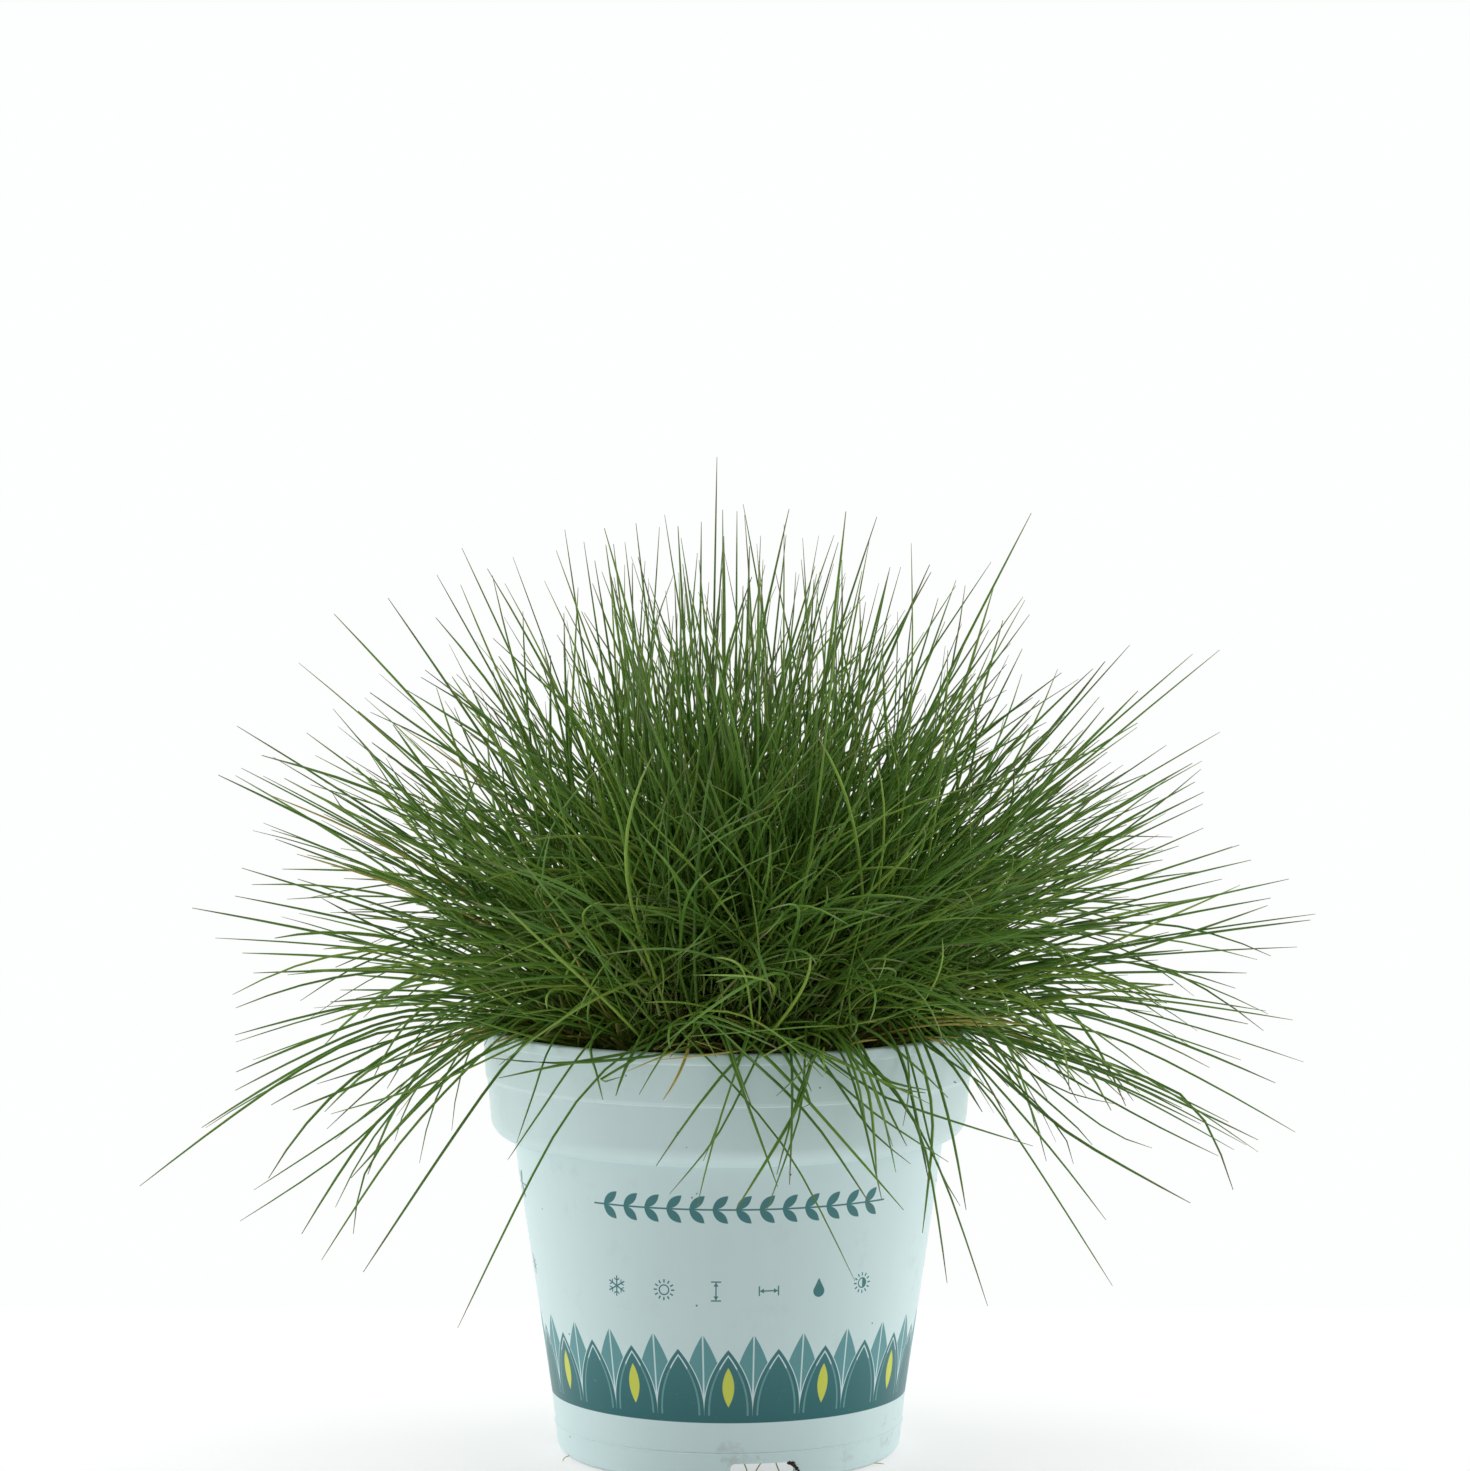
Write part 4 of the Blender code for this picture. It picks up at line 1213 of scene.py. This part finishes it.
def make_placed_leaves(master, finish):
    """Single leaves that stick out of the tussock or hang over the pot, each put where it is seen."""
    standing = STRAY_LEAVES + GOLDEN_LEAVES
    lines = [stray_line(*row) for row in standing] + [hanging_line(*row) for row in HANGING_LEAVES]
    count = len(lines)
    azimuth = np.radians([row[0] for row in standing + HANGING_LEAVES])
    width = LEAF_WIDTH * dice.uniform(0.8, 1.05, count)
    roll = dice.uniform(0, math.pi, count)
    tone = dice.uniform(0.1, 0.8, count)
    dry = np.repeat([0, 1, 0], [len(STRAY_LEAVES), len(GOLDEN_LEAVES), len(HANGING_LEAVES)])
    lines = framed(np.array(lines), azimuth)
    leaves = grow_leaves("placed_leaves", master, lines, width, roll, tone, dry)
    leaves.data.materials.append(finish)
    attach(leaves, "root")


def make_low_leaves(master, finish):
    """Short leaves round the foot of the tussock, which cross one another."""
    count = LOW_LEAVES
    root_azimuth = dice.uniform(0, math.tau, count)
    heading = root_azimuth + dice.normal(0, 1.1, count)
    mean = np.radians(dice.uniform(30, 84, count))
    length = dice.uniform(34, 90, count) * (1 - 0.4 * abs(np.sin(heading))) * MM
    root_share = dice.uniform(0.6, 1.0, count)
    straight = dice.uniform(0.75, 1.0, count)
    # Their tones are drawn from the lighter greens only: painted fill light on the shaded foot of the
    # tussock.
    look = LEAF_WIDTH * dice.uniform(0.6, 0.95, count), dice.uniform(0.45, 1, count), np.zeros(count)
    scattered_leaves(
        "low_leaves", master, finish, root_share, root_azimuth, mean, heading, length, straight, look
    )


def make_dry_leaves(master, finish):
    """Old leaves the colour of straw, most of them lying low round the crown."""
    count = DRY_LEAVES
    root_azimuth = dice.uniform(0, math.tau, count)
    heading = root_azimuth + dice.normal(0, 0.8, count)
    mean = np.radians(dice.uniform(60, 102, count))
    length = dice.uniform(18, 60, count) * MM
    root_share = dice.uniform(0.7, 1.12, count)
    straight = dice.uniform(0.75, 1.0, count)
    look = LEAF_WIDTH * dice.uniform(0.7, 1.1, count), dice.uniform(0, 1, count), np.ones(count)
    scattered_leaves(
        "dry_leaves", master, finish, root_share, root_azimuth, mean, heading, length, straight, look
    )


def make_shoots(master, finish):
    """Stubs of old sheaths that stand packed on the crown."""
    count = SHOOTS
    root_share = np.sqrt(dice.uniform(0, 1.1, count))
    root_azimuth = dice.uniform(0, math.tau, count)
    lean = tilt_of(root_share.clip(0, 1)) * 0.55
    mean = lean + dice.normal(0, 0.3, count)
    heading = root_azimuth + dice.normal(0, 0.5, count)
    length = dice.uniform(6, 20, count) * MM
    look = dice.uniform(1.2, 2.2, count) * MM, dice.uniform(0, 1, count), dice.uniform(0.15, 0.65, count)
    straight = np.full(count, 0.9)
    shoots = scattered_leaves(
        "old_shoots", master, finish, root_share, root_azimuth, mean, heading, length, straight, look
    )


def make_roots(master, finish):
    """Fine roots that come out at the drainage notches."""
    rows = np.array(ROOTS) * MM
    start, middle, end = rows[:, None, :3], rows[:, None, 3:6], rows[:, None, 6:]
    t = np.linspace(0, 1, RINGS + 1)[None, :, None]
    points = start * (1 - t) ** 2 + middle * (2 * t * (1 - t)) + end * t**2
    count = len(rows)
    width = np.full(count, 0.34 * MM)
    none, dry = np.zeros(count), np.full(count, 0.6)
    roots = grow_leaves("fine_roots", master, framed(points, none), width, none, np.ones(count), dry)
    roots.data.materials.append(finish)
    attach(roots, "root")


# Studio


def make_studio():
    scene = bpy.context.scene
    scene.view_settings.view_transform = "Standard"
    deselect()
    bpy.ops.mesh.primitive_plane_add(size=1)
    bpy.context.object.scale = (FLOOR_WIDTH, FLOOR_DEPTH, 1)
    bpy.context.object.location = (0, FLOOR_BACK - FLOOR_DEPTH / 2, 0)
    floor = place_in_mesh("studio_floor")
    glow = {"Emission_Color": (1, 1, 1, 1), "Emission_Strength": 0.48}
    finish = Finish("pale floor", Base_Color=(0.5, 0.5, 0.5, 1), Roughness=0.9, **glow)
    floor.data.materials.append(finish.material)

    world = bpy.data.worlds.new("soft studio")
    scene.world = world
    world.use_nodes = True
    sky = Nodes(world.node_tree)
    sky.tree.nodes.remove(sky.tree.nodes["Background"])
    way = sky.node("ShaderNodeTexCoord", output="Generated")
    ahead = sky.node("ShaderNodeSeparateXYZ", {}, {0: way}).sibling("Y")
    stops = {"Value": ahead, "From Min": -0.35, "From Max": 0.55, "To Min": 0.3, "To Max": 1.0}
    strength = sky.node("ShaderNodeMapRange", {}, stops)
    light = sky.node("ShaderNodeBackground", {}, {"Color": (0.99, 1, 1), "Strength": strength})
    seen = sky.node("ShaderNodeBackground", {}, {"Color": (0.985, 0.992, 0.99)})
    by_camera = sky.node("ShaderNodeLightPath", output="Is Camera Ray")
    both = sky.node("ShaderNodeMixShader", {}, {0: by_camera, 1: light, 2: seen})
    sky.put(sky.tree.nodes["World Output"].inputs["Surface"], both)

    for place, size, power in LAMPS:
        deselect()
        bpy.ops.object.light_add(type="AREA", location=place)
        lamp = bpy.context.object
        lamp.data.energy = power
        lamp.data.size = size
        lamp.rotation_euler = (LAMP_AIM - lamp.location).to_track_quat("-Z", "Y").to_euler()
        lamp.visible_camera = False


def make_camera():
    camera = bpy.data.cameras.new("camera")
    camera.sensor_width = SENSOR
    camera.lens = FOCAL_PIXELS / IMAGE_HEIGHT * SENSOR
    camera.clip_start = 0.05
    eye = bpy.data.objects.new("camera", camera)
    eye.location = CAMERA_PLACE
    eye.rotation_euler = (math.pi / 2 - CAMERA_DOWN, 0, 0)
    bpy.context.scene.collection.objects.link(eye)
    bpy.context.scene.camera = eye


make_studio()
make_camera()
make_pot()
make_soil(soil_finish())
crumb_look = crumb_finish()
make_crumbs(crumb_look)
make_specks(crumb_look)
make_crown(crown_finish())
needle = leaf_master()
leaf_look = leaf_finish()
for tuft in range(1, TUFTS + 1):
    make_tuft(tuft, needle, leaf_look)
make_placed_leaves(needle, leaf_look)
make_low_leaves(needle, leaf_look)
make_dry_leaves(needle, leaf_look)
make_shoots(needle, leaf_look)
make_roots(needle, leaf_look)
bpy.data.objects.remove(needle)
